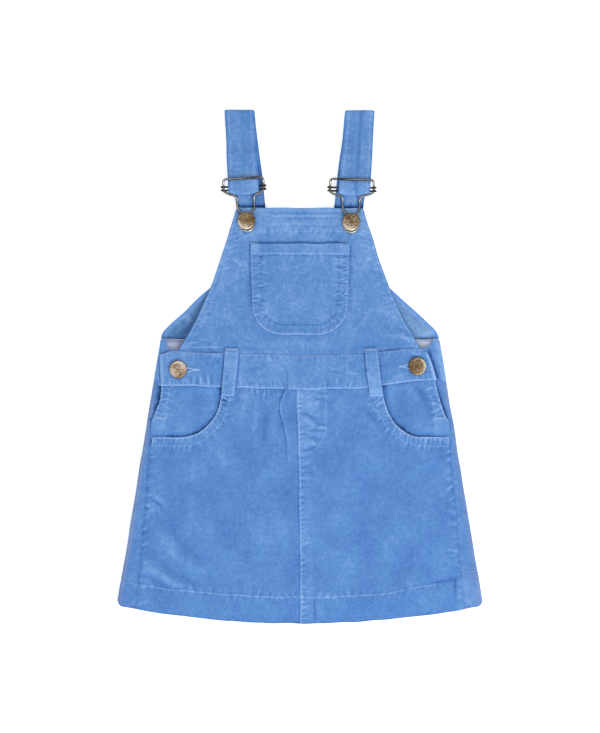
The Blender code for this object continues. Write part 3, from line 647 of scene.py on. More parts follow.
# ---- Back waistband and its lining -----------------------------------------------------------------------
# A band of two layers of needlecord round the back. Its ends come over the side folds and run on under the
# front waistband as button stands. It is faced inside with plain lavender cotton, seen in the armholes.
BACK_BAND, BAND_FOLD_TOP, STAND_END_OUT, LINING_HALF = 2.0, 5.6, 88.0, 129.4
BACK_BAND_TOP_Y, FRONT_RIGHT_END = 25.8, (131.0, 121.5)
TURNED_EDGE = table(
    "left left_y right right_y",
    (108.0, 12.4, 108.0, 12.4),
    (113.0, 14.6, 114.0, 16.2),
    (118.7, 16.0, 119.5, 17.9),
    (123.4, 15.8, 124.0, 19.0),
    (126.9, 17.7, 127.2, 21.4),
    (128.8, 20.8, 128.6, 23.4),
    (130.2, 25.8, 129.6, 25.8),
)

# The same cloth where it lies flat, washed but not greyed.
needlecord = cord_cloth("needlecord, garment washed", washed_blues_and_shadow, "#4F7AB2", 0.0016, 0.12)
columns = wrap_columns(44, 11, 50)
sign, angle, lap, floor = columns
out = mix(fold_out(15.0) - BAND_FOLD_TOP / 2.0, STAND_END_OUT, lap)
turned_y = [np.interp(out, TURNED_EDGE[name], TURNED_EDGE[name + "_y"]) for name in ("left", "right")]
band_top_y = np.where(lap > 0.0, np.where(sign < 0, *turned_y), BACK_BAND_TOP_Y)
back_foot_y = BACK_BAND_FOOT_Y - turned_share(angle, lap) - 0.2
band_foot_y = np.where(lap > 0.0, lap_foot(sign * out) - 0.5, back_foot_y)
y = mix(band_top_y, band_foot_y, np.linspace(0.0, 1.0, 34)[:, None])
on_front = angle > 0.3
shows = ease(np.abs(out), 129.0, 132.0) * on_front
from_edge = np.minimum(band_top_y - y, y - band_foot_y)
relief = 0.35 * shows * (ease(from_edge, 0.5, 2.6) - 1.0)
relief = relief - (1.0 - shows) * (angle < 0.0) * (0.25 * bell(from_edge - 2.0, 0.6))
shape = wrapped(y, STAND_END_OUT + 0.0 * y, BAND_FOLD_TOP + 0.0 * y, BACK_BAND, columns, relief)
beyond = shape[0][..., 0] - mix(*FRONT_RIGHT_END, (y + 12.7) / 29.7)
gap_shadow = on_front * ease(beyond, -1.0, 0.0) * bell(beyond - 1.4, 1.6) * ease(19.0 - y, 0.0, 5.0)
# Painted light and shade: a painted highlight along the band's edges on the front, light and shade following
# its relief, and a painted shadow in the gap beside the front band's right end.
tone = 0.12 * shows + 0.35 * bell(from_edge, 1.3) * on_front + 0.6 * relief - 1.1 * gap_shadow
tone = tone + 0.3 * shows * (sign > 0) * ease(beyond, 3.0, 6.0)
back_band = cloth_sheet("back_waistband", *shape, tone, 0.0, needlecord)


def plain_weave(name, warp, weft, apart):
    """Plain cotton: threads over and under each other, drawn twice as coarse as they are, to show."""
    material, tree, shader = new_material(name, 0.9, Sheen_Weight=0.05)
    place = add_node(tree, "ShaderNodeUVMap", uv_map="flat_cloth").outputs[0]
    woven = work_out(tree, "MULTIPLY", *[stripes(tree, place, apart, 0.6, 0.5, way) for way in "XY"])
    share = work_out(tree, "MULTIPLY_ADD", woven, 0.5, clouds(tree, place, 90.0, 3.0, 0.5))
    share = work_out(tree, "ADD", share, labelled(tree, "tone"))
    finish_shader(tree, shader, mixed(tree, share, linear(weft), linear(warp)), woven, 0.4, 0.0002)
    return material


def laid_sheet(node, x, y, top, foot, tone, inner=0.0, finish=needlecord, **more):
    """Cloth that lies flat: a sheet between two heights over places x, y, which are its flat shape too."""
    over, under = np.stack((x, y, top), -1), np.stack((x, y, foot + 0.0 * x), -1)
    return cloth_sheet(node, over, under, np.stack((x, y), -1), tone, inner, finish, **more)


# Thin cotton lawn, matt and pale lavender grey.
lawn = plain_weave("plain cotton lawn lining", "#C6CFE6", "#858FB4", 0.0009)
across = np.linspace(-LINING_HALF, LINING_HALF, 120)
x, y = np.meshgrid(across, np.linspace(BACK_BAND_FOOT_Y + 0.5, BACK_BAND_TOP_Y, 22))
ripple = 0.35 * slack(x, y, 30.0, 11) + 0.2 * puckers(x + 130.0, BACK_BAND_TOP_Y - y, 7.0, 7.0, 1.0, 12)
z = BACK_BAND + GAP + 0.15 + np.abs(ripple)
# Painted light and shade following the ripples, painted shade at both ends, and a painted shadow along the
# top, under the bodice's edge.
tone = 0.8 * ripple - 0.3 * bell(np.abs(x) - 131.0, 3.0) - 0.8 * bell(y - BACK_BAND_TOP_Y, 2.6)
tone += 0.65 * (x > 0)
lining = laid_sheet("back_waistband_lining", x, y, z + 0.8, z, tone, finish=lawn, slot="cotton_lining")


def stand_top(x, y):
    return BAND_FOLD_TOP - 0.05 + 0.0 * x


outs, feet = np.array((133.4, 135.6, 137.4)), (-12.1, -11.6, -11.2)
ends = [on_surface(side * outs, feet, stand_top) for side in (-1, 1)]
sew("back_waistband_stitches", *map(stitched, ends))
x = np.linspace(-134.0, 134.0, 40)
sew_under("back_waistband_stitches_under", (x, -10.7), (x, 23.8))

# ---- Back bodice -----------------------------------------------------------------------------------------
# One panel of needlecord above the back waistband, right side down. Its wrong side shows in the armholes,
# where it is darker and plain, with a narrow turned edge of the right side along each armhole.
# Four duller blues for the wrong side: painted shadow, deep, plain, and pale for abrasion and painted
# highlights.
dull_blues_and_shadow = ("#203860", "#3F669C", "#4F7FB8", "#8AB4E6")
reverse = cord_cloth("needlecord, wrong side", dull_blues_and_shadow, "#5C88C8", 0.0011, 0.03)
BODICE_TOP_Y, BODICE_TOP_HALF, ARMHOLE_Y, BODICE_CORNER = 102.5, 57.0, 33.7, 1.6


def bodice_half(y):
    """Half the width of the back bodice: its side fold, then a slant up to the straps, with a soft corner."""
    slant = mix(fold_out(ARMHOLE_Y) - 0.6, BODICE_TOP_HALF, (y - ARMHOLE_Y) / (BODICE_TOP_Y - ARMHOLE_Y))
    return -BODICE_CORNER * np.log(np.exp(-fold_out(y) / BODICE_CORNER) + np.exp(-slant / BODICE_CORNER))


y = mix(BODICE_TOP_Y, BACK_BAND_TOP_Y + GAP, np.linspace(0.0, 1.0, 74)[:, None])
half = bodice_half(y)
x = half * np.linspace(-1.0, 1.0, 150)
y = y + 0.0 * x
from_armhole = (half - np.abs(x)) * 0.7
BODICE_CREASES = table(
    "x y to_x to_y bow width height",
    (-136, 36, -112, 48, 2, 2.6, 0.8),
    (-128, 30, -104, 38, -2, 2.2, -0.6),
    (-122, 54, -104, 42, 1, 2.4, 0.7),
    (134, 40, 112, 30, 2, 2.4, 0.8),
    (124, 50, 108, 46, -1, 2.4, -0.5),
    (128, 30, 108, 40, 2, 2.2, 0.5),
)
relief = np.maximum(creases(x, y, BODICE_CREASES)[0] + 0.15 * slack(x, y, 26.0, 21), -0.25)
relief = relief + 0.35 * ease(5.0 - from_armhole, 0.0, 1.0) + 0.1
turned = 1.0 - ease(from_armhole, 2.2, 3.2)
# Painted light and shade following the creases, a painted shadow along the foot of the wrong side above the
# lining, and painted light towards the right.
tone = 0.6 * relief + 0.1 + 0.35 * turned - 0.6 * bell(y - BACK_BAND_TOP_Y, 2.5) * (1.0 - turned)
tone = tone + 0.4 * ease(x, 40.0, 110.0)
top = CLOTH - 0.1 + relief
bodice = laid_sheet("back_bodice", x, y, top, 0.0, tone, turned, reverse, slot="corduroy_reverse")

y = np.linspace(30.0, 99.0, 40)
sides = [(side * (bodice_half(y) - 9.0), y) for side in (-1.0, 1.0)]
sew_under("back_bodice_stitches_under", *sides, (np.linspace(-48.0, 48.0, 30), BODICE_TOP_Y - 6.0))

# ---- Pocket bearers --------------------------------------------------------------------------------------
# The cloth that shows inside each curved pocket. Its outer edge is the front edge of the side opening, faced
# and stitched twice, and a bartack closes the opening where the side seam starts.
BEARER_IN, BEARER_FOOT_Y = 63.0, -80.0
# Thread looks paler where it lies dense.
dense = linear("#A8CDF7")
tack_thread = new_material("polyester thread of tacks and buttonholes", 0.55, Base_Color=dense)[0]
SIDES = table(
    "sign pocket_out waist_out waist_y slot_end bib_out bib_y frame_half frame_shift lean "
    "strap_top strap_foot strap_width loop_top loop_foot",
    (-1, 112.0, 116.5, -2.9, 96.5, 51.2, 139.6, 19.2, 1.6, 2.2, 57.9, 54.2, 29.4, 65.3, 69.3),
    (1, 116.0, 112.3, 0.3, 94.8, 48.9, 138.4, 20.8, 0.4, 0.7, 57.8, 52.0, 30.2, 67.9, 72.8),
)
SIDE_NAMES = ("left", "right")
OPENING_WIDTH, OPENING_FOOT_Y = 37.0, -67.5
TACK_Y, SEAM_LAP = -49.6, 0.7
BEARER_CREASES = table(
    "x y to_x to_y bow width height",
    (-131, -24, -122, -29, 0.5, 1.1, 0.4),
    (-132, -31, -121, -33, 0.4, 1.0, 0.4),
    (-133, -37, -124, -41, 0.5, 1.2, 0.5),
    (-134, -44, -120, -46, -0.6, 1.1, 0.4),
    (-112, -20, -98, -33, 2, 3, -0.35),
    (128, -18, 119, -23, 0.5, 1.1, 0.4),
    (131, -26, 121, -29, 0.4, 1.1, 0.5),
    (133, -34, 122, -36, 0.5, 1.1, 0.5),
    (135, -41, 124, -45, -0.5, 1.2, 0.5),
    (96, -17, 123, -46, 5, 3.4, 0.45),
    (104, -17, 127, -50, 7, 3.0, -0.5),
)


def beside(x, y, line):
    """For the nearest place on a line of points: its distance along the line, and ours to the line's left."""
    nearest = np.full(np.shape(x), np.inf)
    along, left = np.zeros(np.shape(x)), np.zeros(np.shape(x))
    passed = 0.0
    for (ax, ay), (bx, by) in zip(line[:-1], line[1:]):
        dx, dy = bx - ax, by - ay
        length = math.hypot(dx, dy)
        t = np.clip(((x - ax) * dx + (y - ay) * dy) / length**2, 0.0, 1.0)
        px, py = x - ax - t * dx, y - ay - t * dy
        away = np.hypot(px, py)
        closer = away < nearest
        nearest = np.where(closer, away, nearest)
        along = np.where(closer, passed + t * length, along)
        left = np.where(closer, np.copysign(away, dx * py - dy * px), left)
        passed += length
    return along, left


def tacked(path, thick=0.5, length=1.5, pitch=0.55):
    """A bartack: dense stitches across a short path."""
    return path, pitch, length, thick, True


def bearer_floor(x, y):
    """Underside of the bearers: flat in the middle, up on to the side folds, and higher at the placket."""
    lift = 1.2 + 1.7 * ease(y, -74.0, -53.0)
    return 2.0 + lift * ease(np.abs(x), 72.0, 124.0)


def pocket_edge(side):
    """Line of the pocket's opening: a quarter ellipse down from the waist, then straight to the side seam."""
    opening_in = side["pocket_out"] - OPENING_WIDTH
    start = waist_foot(side["sign"] * opening_in) + 1.5
    turn = np.linspace(0.0, math.pi / 2.0, 40)
    out = side["pocket_out"] - OPENING_WIDTH * np.cos(turn)
    y = start + (OPENING_FOOT_Y - start) * np.sin(turn)
    end = seam_out(OPENING_FOOT_Y)
    return np.column_stack((side["sign"] * np.append(out, end), np.append(y, OPENING_FOOT_Y)))


for side, side_name in zip(SIDES, SIDE_NAMES):
    sign = side["sign"]
    across = np.linspace(0.0, 1.0, 84)
    out = mix(BEARER_IN, 131.0, across)
    y = mix(waist_foot(sign * out) + 0.9, BEARER_FOOT_Y, np.linspace(0.0, 1.0, 66)[:, None])
    edge = front_edge_out(np.minimum(y, -12.0), sign) - GAP + (GAP + SEAM_LAP) * ease(-y, 50.0, 52.0)
    out = mix(BEARER_IN, edge, across)
    x = sign * out
    from_edge, from_waist = edge - out, y - waist_foot(x)
    above = ease(y, -54.0, -50.0)
    facing = 0.25 * ease(9.0 - from_edge, -0.8, 0.8)
    wrinkles, rubbed_and_shaded = creases(x, y, BEARER_CREASES)
    bunched = puckers(-y, from_edge - 0.5, 4.0, 7.5, -0.8, 32) * above
    wrinkles, rubbed_and_shaded = 1.3 * wrinkles + bunched + 0.12 * slack(x, y, 18.0, 31), rubbed_and_shaded + bunched
    placket = 0.35 * ease(out, 128.0, 129.4) * ease(-y, 49.0, 50.5)
    grooves = -0.2 * above * (bell(from_edge - 1.8, 0.5) + bell(from_edge - 8.2, 0.5))
    relief = facing * above + wrinkles + placket + grooves
    z = bearer_floor(x, y) + CLOTH
    opening_in = side["pocket_out"] - OPENING_WIDTH
    rise = np.maximum(6.3 - z, 0.0) * ease(out, opening_in + 0.2, opening_in + 6.0)
    z = z + rise * ease(from_waist, -9.0, -0.5) - 0.4 * ease(from_waist, -1.4, 0.0)
    # Painted light and shade: lighter and darker with the wrinkles, with their abrasion; a painted highlight
    # (lit) along the faced edge; painted shadows (shaded) beside the pocket opening and under the waistband's
    # foot; painted shade (shade) in a band down the middle; on the right a painted shade band along a
    # diagonal dent.
    plain, lit, shade = (0.02, 0.5, 0.22) if sign < 0 else (-0.03, 0.85, 0.3)
    tone = plain + 1.1 * rubbed_and_shaded + lit * bell(from_edge, 1.3) * above + 0.18 * (placket > 0.1)
    shaded = bell(np.maximum(sign * beside(x, y, pocket_edge(side))[1], 0.0), 3.0)
    tone = tone - 0.75 * shaded * (1.0 - 0.6 * ease(out, 122.0, 136.0)) - 0.1 * bell(from_waist, 1.6)
    tone = tone + 0.3 * bell(y - TACK_Y, 1.7) * ease(out, 126.0, 128.0) - shade * bell(out - 99.0, 8.0)
    # A painted dark band with faint light beside it: the shade of a diagonal dent on the right bearer.
    dent = out - mix(112.0, 128.0, -(y + 20.0) / 30.0)
    dent_shading = 0.04 * bell(dent + 10.0, 5.0) - 0.38 * bell(dent, 4.0) * ease(-y, 18.0, 24.0)
    tone = tone + (sign > 0) * dent_shading * ease(y, -54.0, -44.0)
    lapped = ease(out - seam_out(y), -0.5, 0.1) * ease(-y, 50.0, 52.0)
    top = np.maximum(z + relief, mix(z, lap_top(x, y) + 0.5, lapped))
    foot = np.maximum(z - CLOTH, mix(z - CLOTH, lap_top(x, y) + 0.06, lapped))
    bearer = laid_sheet(f"pocket_bearer_{side_name}", x, y, top, foot, tone)

    def bearer_top(x, y):
        return bearer_floor(x, y) + CLOTH + 0.2

    y = np.linspace(-20.0, -47.0, 20)
    edge = front_edge_out(y, sign) - GAP
    rows = [stitched(on_surface(sign * (edge - inset), y, bearer_top)) for inset in (1.8, 8.2)]
    sew(f"pocket_bearer_{side_name}_stitches", *rows)
    tack = on_surface((sign * 127.8, sign * 140.6), TACK_Y, bearer_top, 0.1)
    sew(f"pocket_bearer_{side_name}_bartack", tacked(tack), finish=tack_thread)

# ---- Front skirt -----------------------------------------------------------------------------------------
# Two panels joined by a seam down the middle. Each is scooped out for its pocket, with the opening faced and
# stitched twice. The left one has a pleat and gathers at the waist, the right one a mock fly stitched on it.
CENTRE_SEAM_OFF = -3.2
PLEAT_OUT, PLEAT_FOLD_OUT, PLEAT_HEIGHT = 14.0, 14.9, 1.15
HEM_NOTCH_X, PATCH_X = 101.0, 148.6
PLEAT = table(
    "y x",
    (-124, -14.2),
    (-91, -12.3),
    (-76, -12.9),
    (-68.5, -13.7),
    (-61.8, -14.8),
    (-54.3, -16.4),
    (-47.6, -18.5),
    (-40.9, -19.8),
    (-36.4, -19.8),
    (-29.7, -17.8),
    (-24.5, -15.6),
    (-20, -14.0),
)
ROLLS = table(
    "waist_x hem_x top foot half_width height",
    (-36, -50, -55, -235, 13, 0.8),
    (-92, -112, -110, -250, 16, 0.7),
    (42, 48, -26, -215, 14, 0.8),
    (96, 112, -105, -250, 16, 0.8),
)
LEFT_CREASES = table(
    "x y to_x to_y bow width height",
    (-24.5, -34, -25, -92, -0.8, 4.2, 0.6),
    (-34, -34, -37.6, -78, 2.0, 2.8, -0.7),
    (-42, -20, -45, -62, 1.0, 2.4, 0.4),
    (-52, -20, -58, -54, 1.5, 2.2, 0.3),
    (-32.6, -20.5, -33.0, -32, 0.4, 0.9, -0.5),
    (-44.4, -21, -43.2, -27.5, 0.3, 1.0, -0.5),
    (-39.6, -23.5, -36.8, -28.5, 0.3, 0.9, -0.44),
    (-36.4, -20.5, -35.4, -25.5, 0.2, 0.8, -0.39),
    (-48.8, -20.5, -49.6, -25, 0.2, 0.8, -0.33),
    (-25.4, -20.5, -22.6, -26, 0.4, 0.9, -0.39),
    (-21.4, -21, -19.0, -25.5, 0.3, 0.8, -0.33),
    (-29.6, -21.5, -27.8, -27, 0.3, 0.8, -0.28),
    (-53.6, -20.5, -54.4, -24, 0.2, 0.8, -0.28),
    (-41.6, -20.5, -40.6, -26, 0.3, 0.9, 0.39),
    (-34.4, -21, -34.8, -29, 0.3, 0.9, 0.39),
    (-46.8, -21, -46.2, -26.5, 0.3, 0.9, 0.33),
    (-30.6, -21, -31.2, -30, 0.3, 0.9, 0.33),
    (-23.4, -22, -20.8, -28, 0.3, 0.8, 0.28),
    (-20.8, -30, -22.4, -44, 0.4, 0.8, 0.5),
    (-76, -32, -68, -35, 0.3, 0.9, -0.5),
    (-77, -37, -66, -38, 0.3, 0.8, -0.4),
    (-7, -58, -2.8, -61, 0.2, 0.8, -0.3),
    (-146, -125, -131, -136, 0.8, 1.3, -0.55),
    (-144, -122, -128, -134, 0.8, 1.8, 0.4),
    (-141, -146, -84, -198, -9, 4.8, 0.75),
    (-143, -146, -92, -196, -9.5, 2.4, 0.22),
    (-128, -146, -80, -188, -9, 3.0, -0.4),
    (-150, -187, -110, -211, -1, 2.0, 0.2),
    (-151, -170, -92, -211, -5, 4.0, -0.8),
    (-152, -189, -108, -214, -1, 3.6, 0.9),
    (-154, -198, -120, -214, -1, 2.6, -0.5),
    (-106, -106, -120, -168, -4, 7, -0.7),
    (-57, -21, -62, -37, 0.6, 1.0, -0.3),
    (-62, -27, -54, -30, 0.3, 1.0, 0.3),
    (-132, -96, -140, -140, 3, 6, 0.6),
    (-62, -96, -70, -196, 5, 11, -0.5),
    (-26, -120, -20, -206, 3, 7, 0.45),
    (-88, -70, -60, -112, 6, 8, 0.35),
)
RIGHT_CREASES = table(
    "x y to_x to_y bow width height",
    (15, -25.2, 26, -25.4, 0.3, 1.0, -0.38),
    (13, -30.6, 26.5, -31.2, 0.3, 1.0, -0.38),
    (19, -33.4, 28, -33.6, 0.2, 0.9, -0.38),
    (0, -26.4, 9, -26.6, 0.0, 0.9, -0.24),
    (16, -28.0, 27, -28.2, 0.3, 1.0, 0.29),
    (1, -35.5, 19, -35.8, 0.5, 2.6, 0.48),
    (-1.5, -45.8, 9, -45.0, 0.3, 1.1, -0.46),
    (5, -45.0, 18, -53.4, 0.4, 1.1, -0.46),
    (13, -55.2, 26, -55.4, 0.2, 1.1, -0.43),
    (4, -49.6, 15, -57.0, 0.3, 1.7, 0.38),
    (-1, -57.6, 9, -57.8, 0.2, 1.0, -0.43),
    (6.5, -61.4, 16, -61.6, 0.2, 1.1, -0.43),
    (15, -61.2, 25, -61.6, 0.2, 1.0, -0.43),
    (16, -58.0, 26, -58.6, 0.2, 1.3, 0.38),
    (-1, -64.6, 9, -64.9, 0.2, 1.0, -0.43),
    (8, -66.8, 23, -72.2, 0.4, 1.3, -0.53),
    (5, -69.5, 18, -75.5, 0.3, 1.6, 0.38),
    (-2, -82.2, 20, -74.2, -0.8, 1.2, -0.58),
    (3, -76.6, 14, -72.4, 0.5, 1.3, 0.29),
    (-1, -89.6, 12, -86.4, 0.4, 1.0, -0.2),
    (-1, -93.6, 12, -90.4, -0.6, 1.4, 0.35),
    (-1, -98.2, 12, -94.6, 0.4, 1.0, -0.35),
    (-1, -101.4, 13, -102.0, 0.3, 0.9, -0.32),
    (-1, -105.6, 13, -107.6, 0.3, 1.0, 0.28),
    (-1, -110.4, 12, -110.0, 0.3, 0.9, -0.32),
    (76, -29, 66, -31, 0.3, 0.9, -0.4),
    (64, -34, 76, -47, 0.8, 1.5, 0.5),
    (60, -40, 74, -54, 0.8, 1.6, -0.4),
    (56, -44, 78, -68, 1.0, 2.4, 0.35),
    (131, -76, 112, -96, 5, 6, 0.5),
    (150, -108, 128, -122, 3, 3, 0.35),
    (74, -100, 58, -190, -6, 12, -0.6),
    (30, -120, 22, -206, 4, 10, 0.4),
    (150, -150, 126, -206, 6, 7, 0.5),
    (104, -150, 88, -212, 5, 9, -0.5),
    (12, -216, 44, -228, 1, 2.4, 0.3),
    (13.6, -219, 14.4, -247, 0.3, 1.0, -0.7),
    (66, -150, 74, -166, 1, 3.4, 0.4),
    (139, -178.6, 154.5, -179.4, 0.3, 1.2, -0.55),
    (140, -176, 153, -176.6, 0.3, 1.4, 0.35),
)


def skirt_floor(x, y):
    """Underside of the front skirt: on the bearers above, on the back and its hem below, with soft rolls."""
    pocket = bearer_floor(x, y) + CLOTH + GAP
    plain = 2.2 + 2.1 * ease(np.abs(x), 60.0, seam_out(y)) + 0.9 * ease(-y, 190.0, 222.0)
    floor = mix(plain, pocket, ease(y, -115.0, -80.0))
    for roll in ROLLS:
        middle = np.interp(y, (HEM_Y, 0.0), (roll["hem_x"], roll["waist_x"]))
        along = ease(-y, -roll["top"], 40.0 - roll["top"]) * ease(y, roll["foot"], roll["foot"] + 40.0)
        floor = floor + roll["height"] * along * bell(x - middle, roll["half_width"])
    return floor


def centre_seam_x(y):
    return CENTRE_SEAM_OFF * ((y - HEM_Y) / -(HEM_Y + 22.0)) ** 2


def fly_row():
    """The mock fly's stitching: straight down, then a quarter of an ellipse round to the middle seam."""
    turn = np.linspace(0.0, math.pi / 2.0, 16)
    curve = np.column_stack((-1.2 + 26.2 * np.cos(turn), -60.0 - 24.0 * np.sin(turn)))
    return np.concatenate((((24.8, -23.0), (25.0, -45.0)), curve))


def skirt_folds(x, y, side):
    """Wrinkles and steps of a front panel: (all the relief, its painted abrasion, light and shade)."""
    left = side["sign"] < 0
    wander, into = beside(x, y, pocket_edge(side))
    beyond = np.where(y > waist_foot(x) - 1.0, 60.0, -side["sign"] * into)
    to_row, from_side, from_centre = y - hem_row_y(x), seam_out(y) - np.abs(x), x - centre_seam_x(y)
    folded, rubbed_and_shaded = creases(x, y, LEFT_CREASES if left else RIGHT_CREASES)
    loose = 1.3 * folded - rubbed_and_shaded + 0.2 * slack(x, y, 44.0, 41 + left)
    rubbed_and_shaded += puckers(wander, beyond - 1.5, 3.7, 4.8, 0.75, 43 + left)
    rubbed_and_shaded += puckers(wander, beyond - 9.0, 4.4, 4.4, 0.65, 45 + left)
    tight = puckers(x + 200.0, -to_row, 6.4, 4.6, 0.36, 47) + puckers(x + 200.0, to_row, 7.4, 6.5, 0.4, 48)
    rubbed_and_shaded += tight * (1.0 - 0.8 * ease(x, 116.0, 124.0))
    rubbed_and_shaded += puckers(-y, from_side - 0.5, 7.5, 6.0, 0.55, 49 + left) * ease(-y, 66.0, 74.0)
    steps = HEM_STEP * ease(-to_row, -0.5, 0.7) + 0.3 * ease(9.2 - beyond, -0.7, 0.7)
    steps += 0.35 * ease(8.0 - from_side, -1.2, 1.2) * ease(-y, 68.0, 70.0)
    grooves = bell(to_row, 0.6) + bell(beyond - 1.6, 0.5) + bell(beyond - 8.4, 0.5)
    if left:
        steps -= 0.4 * ease(from_centre, -2.4, -0.6)
    else:
        rubbed_and_shaded += puckers(-y, from_centre - 1.8, 4.2, 5.6, 0.75, 51) * ease(-y, 104.0, 112.0)
        rubbed_and_shaded += puckers(-y, from_centre - 1.8, 4.0, 3.2, 0.7, 52) * ease(y, -112.0, -104.0)
        inside = beside(x, y, fly_row())[1]
        grooves = grooves + bell(inside, 0.5) * (y > -87.0) + bell(from_centre - 1.6, 0.45)
        steps += 0.25 * ease(11.5 - from_centre, -1.0, 1.0) + 0.2 * ease(-inside, -0.6, 0.6) * (y > -86.0)
    return steps + loose + rubbed_and_shaded - 0.22 * grooves, rubbed_and_shaded


for side, side_name in zip(SIDES, SIDE_NAMES):
    sign, left = side["sign"], side["sign"] < 0
    opening_in = side["pocket_out"] - OPENING_WIDTH
    if left:
        pleat_steps = np.array((PLEAT_OUT, 14.25, 14.5, 14.8, 15.3, 16.0, 17.0))
        waist = np.concatenate((np.linspace(-0.6, 13.7, 16), pleat_steps, np.linspace(18.0, opening_in, 50)))
    else:
        waist = np.concatenate((np.linspace(-0.5, 6.5, 13), np.linspace(7.5, opening_in, 62)))
    start_y = waist_foot(sign * opening_in) + 1.2
    turn = np.linspace(0.0, math.pi / 2.0, 50)[1:]
    straight = np.linspace(side["pocket_out"], seam_out(OPENING_FOOT_Y) + SEAM_LAP, 27)[1:]
    out = np.concatenate((waist, side["pocket_out"] - OPENING_WIDTH * np.cos(turn), straight))
    curve_y = start_y + (OPENING_FOOT_Y - start_y) * np.sin(turn)
    top = np.concatenate((waist_foot(sign * waist) + 1.2, curve_y, np.full(len(straight), OPENING_FOOT_Y)))
    along = run(np.column_stack((out, top)))
    hem_end = seam_out(-235.0) + SEAM_LAP
    hem_out = np.interp(along, (0.0, along[len(waist) - 1], along[-1]), (out[0], opening_in * 0.88, hem_end))
    share = np.linspace(0.0, 1.0, 175)[:, None]
    share = 0.86 * share + 0.14 * share**2
    y = mix(top, hem_y(hem_out), share)
    x = sign * mix(out, hem_out, share) + centre_seam_x(y) * (1.0 - ease(out, 0.0, 13.0))
    relief, rubbed_and_shaded = 0.0, 0.0
    if left:
        moved = (through(y, PLEAT["y"], PLEAT["x"]) + PLEAT_OUT) * ease(out, 2.0, PLEAT_OUT)
        moved = moved * (1.0 - ease(out, 17.0, 42.0)) * (1.0 - ease(-y, 92.0, 122.0))
        x = x + moved + 0.4 * bell(out - PLEAT_FOLD_OUT, 0.55) * (1.0 - ease(-y, 66.0, 100.0))
        fading = 1.0 - ease(-y, 46.0, 108.0)
        relief = PLEAT_HEIGHT * ease(out, 2.5, 13.0) * (1.0 - ease(out, PLEAT_OUT, 15.2)) * fading
        # The pleat's painted light and shade: a painted highlight along its ridge, and a painted shadow in
        # its fold.
        pleat_shadow = mix(0.5, 1.1, ease(-y, 24.0, 35.0)) * bell(out - PLEAT_FOLD_OUT, 0.9)
        rubbed_and_shaded = fading * (0.6 * bell(out - 12.8, 1.0) - pleat_shadow - 0.12 * bell(out - 17.0, 3.0))
    folds, worn_and_shaded = skirt_folds(x, y, side)
    relief = relief + folds
    to_row, past_seam, from_centre = y - hem_row_y(x), np.abs(x) - seam_out(y), x - centre_seam_x(y)
    into = beside(x, y, pocket_edge(side))[1]
    light_row = 0.45 * (1.0 - bell(x - HEM_NOTCH_X, 5.0)) * (1.0 - ease(x, 129.0, 138.0))
    shadow_row = 0.4 * ease(x, 122.0, 130.0) * (1.0 - ease(x, 148.0, 150.0))
    above_row = to_row - 2.2 * (1.0 - ease(x, 122.0, 149.0))
    # Painted light and shade: lighter and darker with the wrinkles and the pleat, with their abrasion;
    # painted shade along the hem's foot and beside the side seam; a painted shadow (shadow_row) above the
    # hem's row on the right; a painted highlight along the pocket opening's edge.
    tone = -0.17 + 1.1 * worn_and_shaded + 0.5 * rubbed_and_shaded - 0.5 * bell(y - hem_y(x), 0.9) + 0.07 * ease(y, -70.0, -30.0)
    tone = tone + light_row * bell(to_row, 0.8) - 0.2 * bell(to_row - 1.4, 0.8)
    tone = tone - shadow_row * bell(above_row, 1.7)
    tone = tone + 1.0 * bell(into, 1.4) * (y < waist_foot(x) - 2.0) - 0.04 * ease(-to_row, -0.5, 0.5)
    tone = tone + 0.12 * ease(11.0 + sign * into, 0.0, 3.0)
    tone = tone - (0.4 if left else 0.2) * bell(past_seam - SEAM_LAP, 1.6) * ease(to_row, -3.0, 2.0)
    tone = tone - 0.5 * bell(x - PATCH_X, 1.3) * ease(-to_row, -0.5, 1.5) * ease(to_row, -19.0, -10.0)
    tone = tone + 0.18 * ease(x, 149.5, 151.0) * ease(-to_row, -0.5, 0.5)
    if not left:
        tone = tone + 0.6 * bell(from_centre - 1.3, 0.7) + 0.16 * bell(from_centre - 5.0, 5.5)
        inside = beside(x, y, fly_row())[1]
        tone = tone + (0.2 * ease(-inside, -1.0, 2.0) + 0.2 * bell(inside, 1.3)) * ease(y, -90.0, -84.0)
    lapped = ease(past_seam, -0.5, 0.1)
    tuck = 0.4 * ease(y - waist_foot(x), -1.5, 0.3) * (out < opening_in + 3.0)
    tuck = tuck + 0.8 * ease(past_seam, -2.8, 0.4)
    z = skirt_floor(x, y) - tuck
    upper, lower = z + CLOTH + relief, z + 0.8 * np.maximum(relief, 0.0)
    top = np.maximum(upper, mix(upper, lap_top(x, y) + 0.35, lapped))
    foot = np.maximum(lower, mix(lower, lap_top(x, y) - 0.1, lapped))
    panel = laid_sheet(f"front_skirt_{side_name}", x, y, top, foot, tone)

    def panel_top(x, y):
        return skirt_floor(x, y) + CLOTH + skirt_folds(x, y, side)[0]

